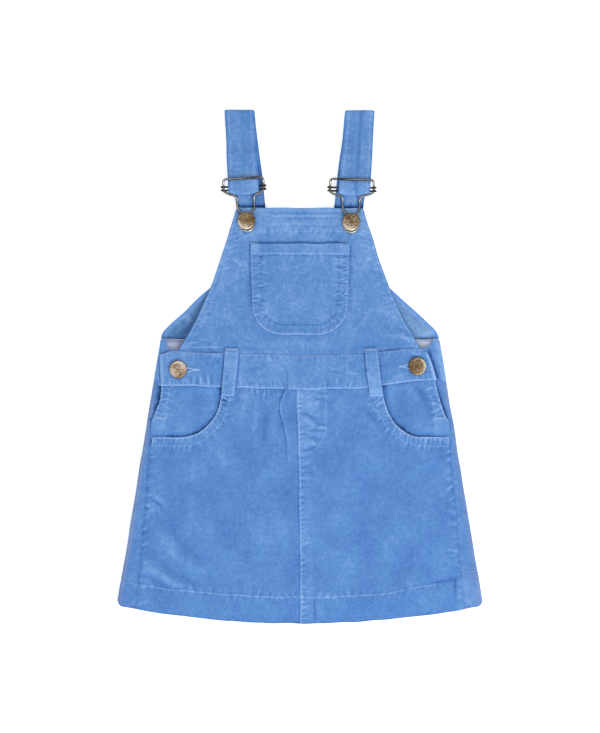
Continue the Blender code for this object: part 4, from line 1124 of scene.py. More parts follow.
    edge = pocket_edge(side)
    edge = edge[edge[:, 1] < waist_foot(edge[:, 0]) - 2.0]
    across = unit(np.gradient(edge, axis=0))
    rows = []
    for inset in (1.6, 8.4):
        line = edge + inset * sign * np.column_stack((across[:, 1], -across[:, 0]))
        line_x = np.minimum(sign * line[:, 0], seam_out(line[:, 1]) - 1.5)
        rows.append(stitched(on_surface(sign * line_x, line[:, 1], panel_top)))
    x = np.linspace(centre_seam_x(-221.0), -seam_out(-209.0) + 1.0 if left else 130.0, 60)
    rows.append(stitched(on_surface(x, hem_row_y(x), panel_top)))
    rows.append(tacked(on_surface(sign * 141.5, np.linspace(-68.5, -75.0, 6), panel_top, 0.1), 0.45, 1.4))
    if not left:
        y = np.linspace(-23.0, -245.0, 60)
        rows.append(stitched(on_surface(centre_seam_x(y) + 1.6, y, panel_top, 0.05), 0.7, 2.3, 2.6))
        rows.append(stitched(on_surface(*fly_row().T, panel_top), 0.42))
    sew(f"front_skirt_{side_name}_stitches", *rows)

# ---- Front waistband -------------------------------------------------------------------------------------
# A curved band of two layers between the bib and the skirt. Its ends lie over the button stands, and each
# has a keyhole buttonhole, cut through and worked over its edges with dense thread.
FRONT_BAND, FRONT_LEFT_END = 2.2, (-133.4, -134.5)
LOOP_FOOT_Y, LOOP_TOP_Y, LOOP_HALF = -28.6, 18.0, 6.4
BAND_CREASES = table(
    "x y to_x to_y bow width height",
    (-127, 8, -128, -8, 1, 3, -0.25),
    (-90, -15, -92, -4, 0.5, 1.0, -0.55),
    (-98, -17, -99, -8, 0.4, 0.9, -0.55),
    (-84, -17, -84, -8, 0.3, 0.9, -0.5),
    (-94.5, -17, -95, -8, 0.3, 0.9, 0.5),
    (-87, -17, -87.5, -6, 0.3, 0.9, 0.45),
    (-104, -17, -105, -8, 0.3, 0.8, -0.5),
    (-76.5, 9, -80, 3, 0.6, 1.0, -0.5),
    (-84, 13.4, -76, 10, -1.0, 1.0, 0.5),
    (-90, 10, -89, 0, 0.3, 1.0, -0.3),
    (-82, 4, -80, -2, 0.4, 1.6, 0.3),
    (-48, -4, -34, -2, 1.0, 1.2, -0.3),
    (-56, -18, -58, -8, 0.5, 1.1, 0.3),
    (-40, -12, -18, -14, 1.5, 2.2, 0.3),
    (-12, -21, -12, -6, 0.5, 1.2, -0.35),
    (-8, -21, -7, -8, 0.3, 1.0, 0.3),
    (20, -4, 44, -6, 0.6, 1.1, -0.35),
    (24, -12, 28, -21, 0.5, 1.2, -0.35),
    (34, -11, 35, -21, 0.5, 1.0, 0.3),
    (46, -6, 60, -8, 0.6, 1.3, 0.3),
    (88, -12, 104, -6, 1.0, 1.6, 0.25),
    (104, 12, 122, 6, -2.0, 1.6, -0.35),
    (106, 15, 116, 12, -1.0, 1.2, 0.3),
)


def waist_top(x):
    return through(x, WAIST["x"], WAIST["top"])


def band_floor(x):
    return 3.8 + 2.1 * ease(np.abs(x), 70.0, 86.0)


def band_folds(x, y):
    """Wrinkles of the waistband, (all the relief, its painted abrasion, light and shade)."""
    from_foot, from_top = y - waist_foot(x), waist_top(x) - y
    folded, rubbed_and_shaded = creases(x, y, BAND_CREASES)
    loose = 1.3 * folded - rubbed_and_shaded + 0.14 * slack(x, y, 26.0, 61)
    rubbed_and_shaded += puckers(x + 140.0, from_foot - 1.6, 4.2, 5.0, 0.45, 62)
    rubbed_and_shaded += puckers(x + 140.0, from_top - 1.6, 5.6, 4.4, 0.36, 63)
    grooves = bell(from_foot - 1.5, 0.45) + 0.7 * bell(from_top - 1.6, 0.45)
    return loose + rubbed_and_shaded - 0.2 * grooves, rubbed_and_shaded


def band_top(x, y):
    return band_floor(x) + FRONT_BAND + band_folds(x, y)[0]


def loop_middle(side, y):
    """How far out the middle of a belt loop is."""
    return mix(side["loop_foot"], side["loop_top"], (y - LOOP_FOOT_Y) / (LOOP_TOP_Y - LOOP_FOOT_Y))


up = np.linspace(0.0, 1.0, 36)[:, None]
left_end, right_end = mix(*FRONT_LEFT_END, up), mix(*FRONT_RIGHT_END, up)
x = mix(left_end, right_end, np.linspace(0.0, 1.0, 268))
corner = 5.0 * ease(x - right_end, -7.0, 0.6) ** 2 * up**3 + 1.2 * ease(-x, 131.0, 134.5) ** 2 * up**6
y = mix(waist_foot(x) - 0.1, waist_top(x) - corner, up)
folds, worn_and_shaded = band_folds(x, y)
from_foot, from_top = y - waist_foot(x), waist_top(x) - y
# Painted light and shade: lighter and darker with the wrinkles, with their abrasion; painted highlights along
# the foot and the top and at both ends, brightest at the right end; painted shadows beside the belt loops.
tone = 0.06 + 1.1 * worn_and_shaded + 0.5 * bell(from_foot - 0.4, 1.2) + 0.4 * bell(from_top - 0.4, 1.2)
tone += 0.4 * bell(x - left_end - 1.0, 1.8) + 1.8 * bell(x - right_end + 0.8, 1.3)
tone += 0.12 * ease(-x, 118.0, 128.0)
for side in SIDES:
    tone -= 0.55 * bell(np.abs(side["sign"] * x - loop_middle(side, y)) - LOOP_HALF - 0.8, 0.9)
inside_end = np.minimum(x - left_end, right_end - x)
raised = 0.4 * (ease(inside_end, 0.0, 2.0) - 1.0) + 0.95 * (ease(from_foot, 0.0, 2.6) - 1.0)
raised = raised + 0.6 * (ease(from_top, 0.0, 2.4) - 1.0)
lift = 0.6 * (1.0 - ease(from_foot, 1.6, 3.4)) + 0.6 * (1.0 - ease(from_top, 2.0, 4.0))
z = band_floor(x)
front_band = laid_sheet("front_waistband", x, y, z + FRONT_BAND + folds + raised, z + lift, tone, rim=0.5)

foot_x, top_x = np.linspace(-132.5, 129.2, 120), np.linspace(-132.0, 122.0, 120)
sew(
    "front_waistband_stitches",
    stitched(on_surface(foot_x, waist_foot(foot_x) + 1.4, band_top), 0.6, 2.7),
    stitched(on_surface(top_x, waist_top(top_x) - 1.6, band_top), 0.4),
    stitched(on_surface((-132.3, -131.6), (9.5, -17.0), band_top), 0.45),
)
rows = []
for side in SIDES:
    out = np.array((side["waist_out"] - 7.0, side["slot_end"] + 6.0, side["slot_end"]))
    for edge in (-1.0, 1.0):
        slot_y = side["waist_y"] + edge * np.array((2.4, 0.6, 0.4))
        rows.append(tacked(on_surface(side["sign"] * out, slot_y, band_top, 0.15), 0.62, 1.25, 0.5))
sew("front_waistband_buttonholes", *rows, finish=tack_thread)

# ---- Bib -------------------------------------------------------------------------------------------------
# One trapezoid of needlecord with hollow sides, faced along the top and turned in at its sides. It is sewn
# into the waistband at its foot.
BIB_TOP_Y, BIB_TOP_HALF, BIB_FLARE, BIB_HOLLOW, BIB_HEIGHT = 152.3, 61.0, 0.29, 15.0, 135.0
BIB_CLOTH, BIB_ROW_Y, BIB_CORNER = 1.4, 129.6, 3.0
POCKET_HALF, POCKET_TOP_Y = 47.8, 118.0
BIB_CREASES = table(
    "x y to_x to_y bow width height",
    (-112, 20, -90, 26, 1, 1.6, 0.5),
    (-108, 26, -86, 22, 1, 1.4, -0.4),
    (-98, 40, -80, 50, 2, 3, 0.4),
    (-92, 60, -70, 92, 3, 4, -0.4),
    (-74, 84, -66, 118, 2, 3, 0.35),
    (-60, 122, -40, 128, 1, 1.6, 0.3),
    (-64, 104, -56, 96, 1, 1.6, 0.3),
    (112, 22, 84, 30, -2, 1.8, 0.5),
    (108, 30, 90, 40, 1, 2.2, -0.4),
    (94, 46, 74, 60, 2, 3, 0.45),
    (84, 66, 66, 100, -3, 4, -0.45),
    (76, 90, 62, 120, 2, 3, 0.35),
    (70, 60, 54, 38, 2, 3.2, 0.35),
    (66, 108, 58, 90, 1, 1.6, 0.3),
    (-34, 147.5, 46, 147.2, 0.3, 0.6, -0.45),
    (-30, 144.3, 34, 144.6, 0.3, 0.7, 0.4),
    (-24, 142.6, 40, 142.0, -0.3, 0.6, -0.35),
    (-38, 136.5, 16, 137.0, 0.3, 0.8, 0.3),
    (-6, 134.6, 40, 134.0, 0.3, 0.6, -0.3),
    (-113, 17.6, -73, 18.4, 0.3, 0.8, 0.5),
    (-113, 15.8, -73, 16.4, 0.3, 0.6, -0.4),
    (-44, 23, 40, 21, 1.0, 3.0, 0.35),
    (-80, 17, -40, 18, 0.5, 1.5, -0.25),
    (46, 18, 86, 21, 0.5, 1.5, -0.3),
)


def bib_half(y):
    down = BIB_TOP_Y - y
    return BIB_TOP_HALF + BIB_FLARE * down + BIB_HOLLOW * (down / BIB_HEIGHT) ** 3


def bib_floor(x, y):
    foot = ease(75.0 - y, 0.0, 57.0)
    return 2.6 + foot * (1.3 + 1.7 * ease(np.abs(x), 72.0, 100.0))


def bib_folds(x, y):
    """Wrinkles of the bib, fewer under the patch pocket: (all the relief, its painted abrasion, light and
    shade).
    """
    from_side = (bib_half(y) - np.abs(x)) * 0.96
    above_row = y - BIB_ROW_Y
    under_pocket = ease(50.0 - np.abs(x), 0.0, 4.0) * ease(y, 26.0, 31.0)
    under_pocket *= ease(POCKET_TOP_Y + 2.0 - y, 0.0, 2.0)
    folded, rubbed_and_shaded = creases(x, y, BIB_CREASES)
    loose = (1.3 * folded - rubbed_and_shaded + 0.18 * slack(x, y, 36.0, 71)) * (1.0 - under_pocket)
    rubbed_and_shaded += puckers(160.0 - y, from_side - 7.0, 4.8, 5.0, 0.38, 72)
    rubbed_and_shaded += puckers(160.0 - y, from_side - 1.0, 5.8, 3.5, 0.36, 74)
    rubbed_and_shaded += puckers(x + 80.0, above_row, 6.2, 5.0, 0.3, 75)
    rubbed_and_shaded += puckers(x + 80.0, -above_row, 7.2, 5.0, 0.3, 76)
    rubbed_and_shaded = rubbed_and_shaded * (1.0 - under_pocket)
    steps = 0.25 * ease(above_row, -0.6, 0.6) + 0.2 * ease(7.4 - from_side, -0.7, 0.7)
    grooves = bell(above_row, 0.5) + bell(from_side - 7.0, 0.5) + 0.6 * bell(from_side - 1.6, 0.5)
    return (steps - 0.2 * grooves) * (1.0 - under_pocket) + loose + rubbed_and_shaded, rubbed_and_shaded


def bib_top(x, y):
    return bib_floor(x, y) + BIB_CLOTH + bib_folds(x, y)[0]


across = np.linspace(-1.0, 1.0, 172)
foot = waist_top(across * bib_half(17.0)) - 1.2
y = mix(foot, BIB_TOP_Y, np.linspace(0.0, 1.0, 112)[:, None])
half = bib_half(y)
x = across * half
into_corner = np.clip((y - BIB_TOP_Y + BIB_CORNER) / BIB_CORNER, 0.0, 1.0)
x = x - np.sign(x) * BIB_CORNER * (1.0 - np.sqrt(1.0 - into_corner**2)) * np.abs(across) ** 12
folds, worn_and_shaded = bib_folds(x, y)
tuck = 0.4 * (1.0 - ease(y - foot, 0.6, 2.8))
from_side = half - np.abs(x)
# Painted light and shade: lighter and darker with the wrinkles, with their abrasion; painted light on the top
# edge inside each buckle, against the buckle's shade; a painted shadow above the pocket's mouth and painted
# shade beside its sides.
tone = 0.16 + 1.1 * worn_and_shaded - 0.35 * bell(from_side, 0.8) + 0.3 * bell(from_side - 1.6, 0.9)
tone += 0.2 * bell(y - 151.0, 1.0) + 0.12 * ease(y - BIB_ROW_Y, -1.0, 1.0) - 0.14 * ease(-y, -62.0, -32.0)
for side in SIDES:
    tone += 0.7 * bell(side["sign"] * x - side["bib_out"], 6.5) * ease(y, 146.0, 147.5)
tone -= 0.7 * ease(42.0 - np.abs(x), 0.0, 4.0) * bell(y - POCKET_TOP_Y - 0.6, 1.5)
beside_pocket = bell(np.abs(x) - POCKET_HALF - 0.8, 1.1)
tone -= 0.35 * beside_pocket * ease(y, 44.0, 60.0) * ease(POCKET_TOP_Y - y, 0.0, 3.0)
z = bib_floor(x, y)
bib = laid_sheet("bib", x, y, z + BIB_CLOTH + folds - tuck, z - 0.9 * tuck, tone, rim=0.5)

rows = []
for side in (-1.0, 1.0):
    for inset, thick, row_top in ((1.6, 0.42, 150.5), (7.0, 0.45, 128.0)):
        y = np.linspace(19.0, row_top, 60)
        rows.append(stitched(on_surface(side * (bib_half(y) - inset), y, bib_top), thick))
x = np.linspace(-66.0, 66.0, 50)
rows.append(stitched(on_surface(x, BIB_ROW_Y + 0.3 * np.sin(x / 15.0), bib_top), 0.5, 2.3))
rows.append(stitched(on_surface(np.linspace(-58.0, 58.0, 50), 150.4, bib_top), 0.4))
sew("bib_stitches", *rows)

# ---- Bib pocket ------------------------------------------------------------------------------------------
# A patch pocket with round lower corners, sewn on with two rows of stitches round its sides and foot. Its
# top is hemmed, and a bartack holds each top corner.
POCKET_FOOT_Y, POCKET_CORNER, POCKET_ROW_Y, POCKET_TAPER = 30.3, 29.0, 108.0, 2.0
POCKET_CREASES = table(
    "x y to_x to_y bow width height",
    (-44, 104, -34, 102, 0.5, 1.2, 0.24),
    (-45, 92, -33, 95, 0.6, 1.1, 0.24),
    (-46, 84, -36, 82, 0.5, 1.2, -0.21),
    (-44, 76, -30, 80, 0.8, 1.4, 0.21),
    (-44, 66, -34, 70, 0.4, 1.3, 0.27),
    (-42, 58, -30, 66, 0.8, 1.5, -0.21),
    (-38, 50, -30, 56, 0.5, 1.3, 0.24),
    (-30, 38, -22, 46, 0.5, 1.3, 0.21),
    (44, 104, 32, 99, 0.5, 1.3, 0.24),
    (45, 95, 34, 96, 0.4, 1.1, -0.21),
    (45, 86, 33, 82, 0.5, 1.2, 0.27),
    (44, 74, 34, 77, 0.5, 1.2, 0.24),
    (43, 66, 30, 62, 0.6, 1.3, -0.21),
    (40, 54, 32, 60, 0.5, 1.3, 0.24),
    (34, 42, 26, 50, 0.5, 1.3, 0.24),
    (20, 34, 14, 42, 0.5, 1.3, 0.18),
    (-14, 62, 20, 54, 3.0, 9.0, 0.35),
    (-10, 90, 26, 82, 4.0, 9.0, -0.3),
)


def pocket_half(y):
    """Half width of the pocket: a slight taper, less a quarter circle at its lower corners."""
    taper = POCKET_TAPER * (POCKET_TOP_Y - y) / (POCKET_TOP_Y - POCKET_FOOT_Y)
    rise = np.clip((POCKET_FOOT_Y + POCKET_CORNER - y) / POCKET_CORNER, 0.0, 1.0)
    return POCKET_HALF - taper - POCKET_CORNER * (1.0 - np.sqrt(1.0 - rise**2))


def pocket_outline(inset):
    """Line down one side, round the foot and up the other, inset from the edge."""
    bend = np.linspace(math.pi / 2.0, 0.0, 24)
    radius = POCKET_CORNER - inset
    corner_x = POCKET_HALF - 0.8 * POCKET_TAPER - POCKET_CORNER + radius * np.sin(bend)
    x = np.append(POCKET_HALF - inset, corner_x)
    y = np.append(POCKET_TOP_Y - 1.0, POCKET_FOOT_Y + POCKET_CORNER - radius * np.cos(bend))
    return np.column_stack((np.concatenate((-x, x[::-1])), np.concatenate((y, y[::-1]))))


def pocket_folds(x, y):
    """Wrinkles of the patch pocket, (all the relief, its painted abrasion, light and shade)."""
    along, inside = beside(x, y, pocket_outline(0.0))
    inside, above_row = np.maximum(inside, 0.0), y - POCKET_ROW_Y
    below_hem = ease(-above_row, -1.0, 2.0)
    folded, rubbed_and_shaded = creases(x, y, POCKET_CREASES)
    loose = 1.3 * folded - rubbed_and_shaded + 0.12 * slack(x, y, 30.0, 81)
    pulled = below_hem * (1.0 - 0.65 * ease(32.0 - np.abs(x), 0.0, 12.0))
    rubbed_and_shaded += puckers(along, inside - 1.6, 3.1, 5.2, 0.85, 82) * pulled
    rubbed_and_shaded += puckers(along, inside - 8.6, 3.0, 5.0, 0.85, 83) * pulled
    rubbed_and_shaded -= 0.16 * ease(7.0 - np.abs(inside - 6.5), 0.0, 3.0) * below_hem
    rubbed_and_shaded += puckers(x + 60.0, -above_row, 6.0, 4.0, 0.36, 84)
    grooves = bell(inside - 1.6, 0.45) + 1.6 * bell(inside - 8.5, 0.5) * below_hem + bell(above_row, 0.5)
    steps = 0.45 * ease(above_row, -0.6, 0.6) + 0.25 * ease(9.2 - inside, -0.7, 0.7) - 0.2 * bell(inside, 1.0)
    steps = steps - 0.7 * bell(y - POCKET_TOP_Y, 2.2) * ease(np.abs(x), 36.0, 42.0)
    return steps + loose + rubbed_and_shaded - 0.2 * grooves, rubbed_and_shaded


def pocket_top(x, y):
    return bib_floor(x, y) + BIB_CLOTH + GAP + CLOTH + pocket_folds(x, y)[0]


rise = 1.0 - np.cos(np.linspace(0.0, math.pi / 2.0, 34))
straight_y = np.linspace(POCKET_FOOT_Y + POCKET_CORNER + 1.0, POCKET_TOP_Y, 58)
y = np.concatenate((POCKET_FOOT_Y + POCKET_CORNER * rise, straight_y))[:, None]
x = pocket_half(y) * np.linspace(-1.0, 1.0, 98)
y = y + 0.0 * x
folds, worn_and_shaded = pocket_folds(x, y)
inside, above_row = beside(x, y, pocket_outline(0.0))[1], y - POCKET_ROW_Y
at_foot = ease(56.0 - y, 0.0, 20.0)
# Painted light and shade: lighter and darker with the wrinkles, with their abrasion; a painted highlight
# along the edge, strongest at the foot, which faces the lamp, and painted shade on the sides' very edge.
tone = 0.08 + 1.1 * worn_and_shaded + (0.15 + 0.45 * at_foot) * bell(inside - 0.4, 1.3)
tone += 0.06 * ease(9.0 - inside, 0.0, 1.5) - 0.3 * bell(inside, 0.6) * (1.0 - at_foot)
tone += 0.22 * ease(np.abs(x), 35.0, 39.0) * ease(above_row, 0.0, 2.0) + 0.3 * bell(y - POCKET_TOP_Y, 1.3)
tone += 0.05 * ease(above_row, 0.0, 1.0) + 0.45 * bell(above_row - 0.2, 0.8)
tone -= 0.5 * bell(above_row + 1.6, 0.7) + 0.2 * bell(above_row - 2.0, 0.7)
# Painted light on the stitched band and painted shade at its inner step, most at the foot.
rows_tone = (0.05 + 0.2 * at_foot) * bell(inside - 7.6, 0.8)
rows_tone -= (0.15 + 0.3 * at_foot) * bell(inside - 9.2, 0.8)
tone += rows_tone * ease(-above_row, 0.0, 2.0)
z = bib_floor(x, y) + BIB_CLOTH + GAP
bib_pocket = laid_sheet("bib_pocket", x, y, z + CLOTH + folds, z, tone)

sew(
    "bib_pocket_stitches",
    stitched(on_surface(*pocket_outline(1.6).T, pocket_top)),
    stitched(on_surface(*pocket_outline(8.5)[1:-1].T, pocket_top), 0.45),
    stitched(on_surface((-46.0, 46.0), POCKET_ROW_Y, pocket_top)),
)
tacks = [on_surface((side * 38.6, side * 46.6), (115.4, 115.2), pocket_top, 0.05) for side in (-1.0, 1.0)]
sew("bib_pocket_bartacks", *map(tacked, tacks), finish=tack_thread)

# ---- Belt loops ------------------------------------------------------------------------------------------
# Strips of folded needlecord over the waistband, stitched along both edges and held by a bartack at each
# end. Their ends bend down to the skirt and to the bib.
BELT_LOOP, TACK_SPAN = 1.6, np.array((-5.2, 5.2))


def loop_floor(x, y):
    """Underside of a belt loop: on the waistband, bent down at its foot to the skirt and above to the bib."""
    on_skirt = mix(band_floor(x) + FRONT_BAND, skirt_floor(x, y) + CLOTH, ease(-y, 22.0, 26.0)) + GAP
    return mix(on_skirt, bib_floor(x, y) + BIB_CLOTH + 0.1, ease(y - waist_top(x), 0.2, 3.2))


def loop_top(x, y):
    return loop_floor(x, y) + BELT_LOOP + 0.1


for side, side_name in zip(SIDES, SIDE_NAMES):
    sign = side["sign"]
    y = np.linspace(LOOP_FOOT_Y, LOOP_TOP_Y, 66)[:, None]
    across = np.linspace(-1.0, 1.0, 22)
    x = sign * (loop_middle(side, y) + LOOP_HALF * across)
    y = y + 0.0 * x
    from_edge = LOOP_HALF * (1.0 - np.abs(across)) + 0.0 * y
    rubbed_and_shaded = puckers(y + 30.0, from_edge, 4.4, 3.4, 0.26, 91 + (sign > 0)) + 0.12 * slack(x, y, 14.0, 93)
    relief = rubbed_and_shaded - 0.3 * (1.0 - ease(from_edge, 0.0, 1.6)) - 0.15 * bell(from_edge - 1.6, 0.4)
    relief = relief + 0.25 * ease(y, -27.0, -22.0) * ease(12.0 - y, -4.0, 2.0)
    relief = relief - 0.9 * (1.0 - ease(LOOP_TOP_Y - y, 0.0, 2.6))
    relief = relief - 0.9 * (1.0 - ease(y - LOOP_FOOT_Y, 0.0, 2.2))
    z = loop_floor(x, y)
    # Lighter and darker with the puckers, as painted light and shade with their abrasion, and a painted
    # highlight along both edges.
    tone = 0.18 + 0.7 * rubbed_and_shaded + 0.25 * bell(from_edge, 1.2)
    tone += 0.3 * (bell(y - LOOP_TOP_Y + 0.5, 1.2) + bell(y - LOOP_FOOT_Y - 0.4, 1.2))
    loop = laid_sheet(f"belt_loop_{side_name}", x, y, z + BELT_LOOP + relief, z, tone)

    ends = ((side["loop_top"], 16.2), (side["loop_foot"], -27.0))
    middles = np.array((side["loop_foot"], side["loop_top"]))
    lines = [on_surface(sign * (middles + inset), (-27.0, 16.0), loop_top) for inset in (-4.7, 4.7)]
    sew(f"belt_loop_{side_name}_stitches", *[stitched(line, 0.42) for line in lines])
    tacks = [on_surface(sign * (out + TACK_SPAN), at_y, loop_top, -0.15) for out, at_y in ends]
    sew(f"belt_loop_{side_name}_bartacks", *[tacked(tack, 0.5, 1.4) for tack in tacks], finish=tack_thread)

# ---- Straps ----------------------------------------------------------------------------------------------
# Tubes of needlecord pressed flat and stitched along both edges. Each comes up from the back bodice, folds
# over at the top, goes down the front over the buckle's slide, round its lower bar and up behind itself.
STRAP, STRAP_TOP_Y, STRAP_BEND, STRAP_FOOT_OUT, STRAP_TOP_WIDTH = 2.2, 246.6, 1.4, 41.0, 28.3
STRAP_STEP, STRAP_SEWN_IN, STRAP_SHADOW_Y = 0.9, 3.5, 153.0
FRAME_WIRE, SLIDE_WIRE = 0.95, 0.75
FRAME_Z, FRAME_SIDE_Z, FRAME_TOP_Z = 5.3, 7.95, 9.9
SLIDE_BARS_UP = (29.8, 33.0)
SLIDE_Z = FRAME_SIDE_Z - FRAME_WIRE - SLIDE_WIRE - GAP


def smooth_path(points, steps, closed=False):
    """Catmull-Rom curve through the points, with so many steps between each two."""
    points = np.asarray(points, dtype=float)
    if closed:
        points = np.concatenate((points[-1:], points, points[:2]))
    else:
        points = np.concatenate((2 * points[:1] - points[1:2], points, 2 * points[-1:] - points[-2:-1]))
    a, b, c, d = points[:-3, None], points[1:-2, None], points[2:-1, None], points[3:, None]
    t = (np.arange(steps) / steps)[None, :, None]
    curve = b + 0.5 * t * (c - a + t * (2 * a - 5 * b + 4 * c - d + t * (3 * (b - c) + d - a)))
    curve = curve.reshape(-1, points.shape[1])
    return curve if closed else np.concatenate((curve, points[-2:-1]))


for side, side_name in zip(SIDES, SIDE_NAMES):
    sign = side["sign"]
    mid = STRAP / 2.0
    low, high = SLIDE_Z - SLIDE_WIRE - GAP - mid, SLIDE_Z + SLIDE_WIRE + GAP + mid
    turn_y, slide_y = STRAP_TOP_Y - mid - STRAP_BEND, side["bib_y"] + SLIDE_BARS_UP[0]
    turns = np.linspace(-math.pi / 2.0, math.pi / 2.0, 8)
    back = [(BODICE_TOP_Y + GAP, mid), (150.0, mid), (200.0, mid), (236.0, mid)]
    top_fold = [(turn_y + STRAP_BEND * math.cos(a), mid + STRAP_BEND * (1.0 + math.sin(a))) for a in turns]
    top_z, front_z = mid + 2.0 * STRAP_BEND, low + STRAP + GAP
    drape = [(236.0, top_z), (224.0, top_z), (214.0, top_z), (208.0, top_z + 0.8), (202.0, front_z)]
    drape += [(190.0, front_z), (183.0, mix(front_z, high, 0.5)), (176.5, high)]
    bend, fold_z = (high - low) / 2.0, (high + low) / 2.0
    slide_fold = [(slide_y - bend * math.cos(a), fold_z + bend * math.sin(a)) for a in turns[::-1]]
    tail = [(180.0, low), (188.0, low), (196.0, low), (203.5, low)]
    path = resample(smooth_path(back + top_fold + drape + slide_fold + tail, 9), STRAP_STEP)
    turn_at, along, at_y = np.argmax(path[:, 0]), run(path)[:, None], path[:, :1]
    number = np.arange(len(path))[:, None]
    behind = np.linspace(0.0, 1.0, len(path))[:, None] < turn_at / len(path)
    on_back = number < turn_at - 6
    going = unit(np.gradient(path, axis=0))
    facing = np.stack((going[:, 1], -going[:, 0]), -1)
    back_out = np.interp(at_y, (BODICE_TOP_Y, STRAP_TOP_Y), (STRAP_FOOT_OUT, side["strap_top"]))
    front_out = np.interp(at_y, (slide_y, STRAP_TOP_Y), (side["strap_foot"], side["strap_top"]))
    front_width = np.interp(at_y, (slide_y, STRAP_TOP_Y), (side["strap_width"], STRAP_TOP_WIDTH))
    middle = np.where(behind, back_out, front_out)
    width = np.where(behind, STRAP_TOP_WIDTH, front_width)
    near_slide = np.where(behind, 0.0, 1.0 - ease(at_y, 178.0, 215.0))
    slope = -math.tan(math.radians(side["lean"])) * near_slide
    offset = width * np.linspace(-0.5, 0.5, 30)
    lean = slope * offset - 1.3 * near_slide**2 * (1.0 - (2.0 * offset / width) ** 2)
    from_edge = width / 2.0 - np.abs(offset)
    s = along + 0.0 * offset
    rubbed_and_shaded = puckers(s, from_edge - 3.6, 5.2, 3.4, 0.22, 101)
    rubbed_and_shaded += puckers(s, from_edge - 0.5, 6.0, 2.4, 0.16, 102)
    rubbed_and_shaded += 0.14 * slack(offset, s, 22.0, 103 + (sign > 0)) - 0.18 * bell(offset - sign * 1.5, 1.6)
    relief = rubbed_and_shaded - 0.45 * (1.0 - ease(from_edge, 0.0, 2.6)) - 0.16 * bell(from_edge - STRAP_SEWN_IN, 0.45)
    relief = np.where(relief > 0.0, relief * (1.0 - bell(along - along[turn_at], 6.0)), relief)
    # Painted light and shade: lighter and darker with the puckers; painted shade along the edges and at the
    # top fold; lighter below the buckle's top and a painted highlight along the fold round the slide; on the
    # back a painted shadow under the bib's top edge, lifted by painted light (loop_light) where it shows in
    # the buckle.
    plain, loop_light = (0.04, 0.4) if sign < 0 else (0.16, 0.75)
    tone = 0.8 * rubbed_and_shaded - 0.45 * bell(from_edge, 0.8) - 0.3 * bell(at_y - STRAP_TOP_Y, 1.0) + plain
    at_slide = 0.2 * ease(-at_y, -190.0, -180.0) + 0.6 * bell(at_y - slide_y + bend + mid, 1.3)
    tone += (1.0 - on_back) * at_slide
    tone += 0.3 * bell(from_edge - 3.6, 0.7) - 0.3 * bell(offset - sign * 1.5, 1.3) * (sign > 0)
    in_loop = loop_light * bell(middle + offset - side["bib_out"] - 0.5, 6.5)
    in_loop = in_loop * (1.0 - 0.8 * bell(at_y - STRAP_SHADOW_Y, 2.4))
    shaded = 1.1 * bell(at_y - STRAP_SHADOW_Y, 3.0) - in_loop - 0.3 * bell(offset - 10.0, 1.2)
    tone -= on_back * (shaded + 0.08)
    faces = []
    for depth in (mid + relief, -mid + 0.0 * relief):
        spot = path[:, None, :] + depth[:, :, None] * facing[:, None, :]
        faces.append(np.stack((sign * (middle + offset), spot[..., 0] + lean, spot[..., 1]), -1))
    flat = np.stack((offset + 40.0 * sign, s), -1)
    strap = cloth_sheet(f"strap_{side_name}", *faces, flat, tone, 0.0, needlecord, rim=0.55, back=0.0)

    rows = []
    seen = slice(turn_at + 5, turn_at + int((STRAP_TOP_Y - slide_y) / STRAP_STEP))
    hidden = (behind & (at_y < 240.0))[:, 0]
    for edge, edge_name in ((-1.0, "in"), (1.0, "out")):
        off = edge * (width / 2.0 - STRAP_SEWN_IN)
        line = np.column_stack((sign * (middle + off), path)) + mid * np.column_stack((0.0 * off, facing))
        line[:, 1:2] += slope * off
        rows.append(stitched(line[seen], 0.42))
        back_line = np.column_stack((sign * (middle + off), at_y, 0.0 * off))[hidden]
        sew(f"strap_{side_name}_stitches_back_{edge_name}", stitched(back_line, 0.42), up=(0.0, 0.0, -1.0))
    sew(f"strap_{side_name}_stitches", *rows)

# ---- Buckles ---------------------------------------------------------------------------------------------
# Dungaree buckles of round steel wire with a dark bronze plate: a closed frame that narrows to a keyhole
# round the button, and a slide of two bars, held by the strap, whose ends hook round the frame's sides.
ROUND_SIDES, BAR_SIDES, LINK_SIDES, LINK_OUT = 16, 12, 8, 9.0


def worn_and_highlit_metal(name, codes, roughness, grain, spots):
    """Plated metal, finely tarnished: dark in hollows, bright where proud, as abrasion and painted highlight
    and shade.
    """
    material, tree, shader = new_material(name, roughness, Metallic=1.0)
    place = add_node(tree, "ShaderNodeTexCoord").outputs["Object"]
    cloud = clouds(tree, place, 1.0 / grain, 4.0, 0.6, "3D")
    spotted = work_out(tree, "MULTIPLY_ADD", work_out(tree, "SUBTRACT", cloud, 0.5), spots, 0.46)
    shade = work_out(tree, "ADD", spotted, labelled(tree, "tone"))
    spread = {0: cloud, 1: 0.3, 2: 0.7, 3: roughness - 0.1, 4: roughness + 0.15}
    tree.links.new(add_node(tree, "ShaderNodeMapRange", spread).outputs[0], shader.inputs["Roughness"])
    finish_shader(tree, shader, colour_of(tree, shade, (0.12, 0.5, 0.9), codes), cloud, 0.12, 0.0001)
    return material


# Dark plate, with a pale metal that shows as the painted highlight along the top of each wire.
bronze_wire = worn_and_highlit_metal("bronze plated steel wire", ("#201E1C", "#5C5952", "#C8C9C2"), 0.36, 0.0045, 0.7)


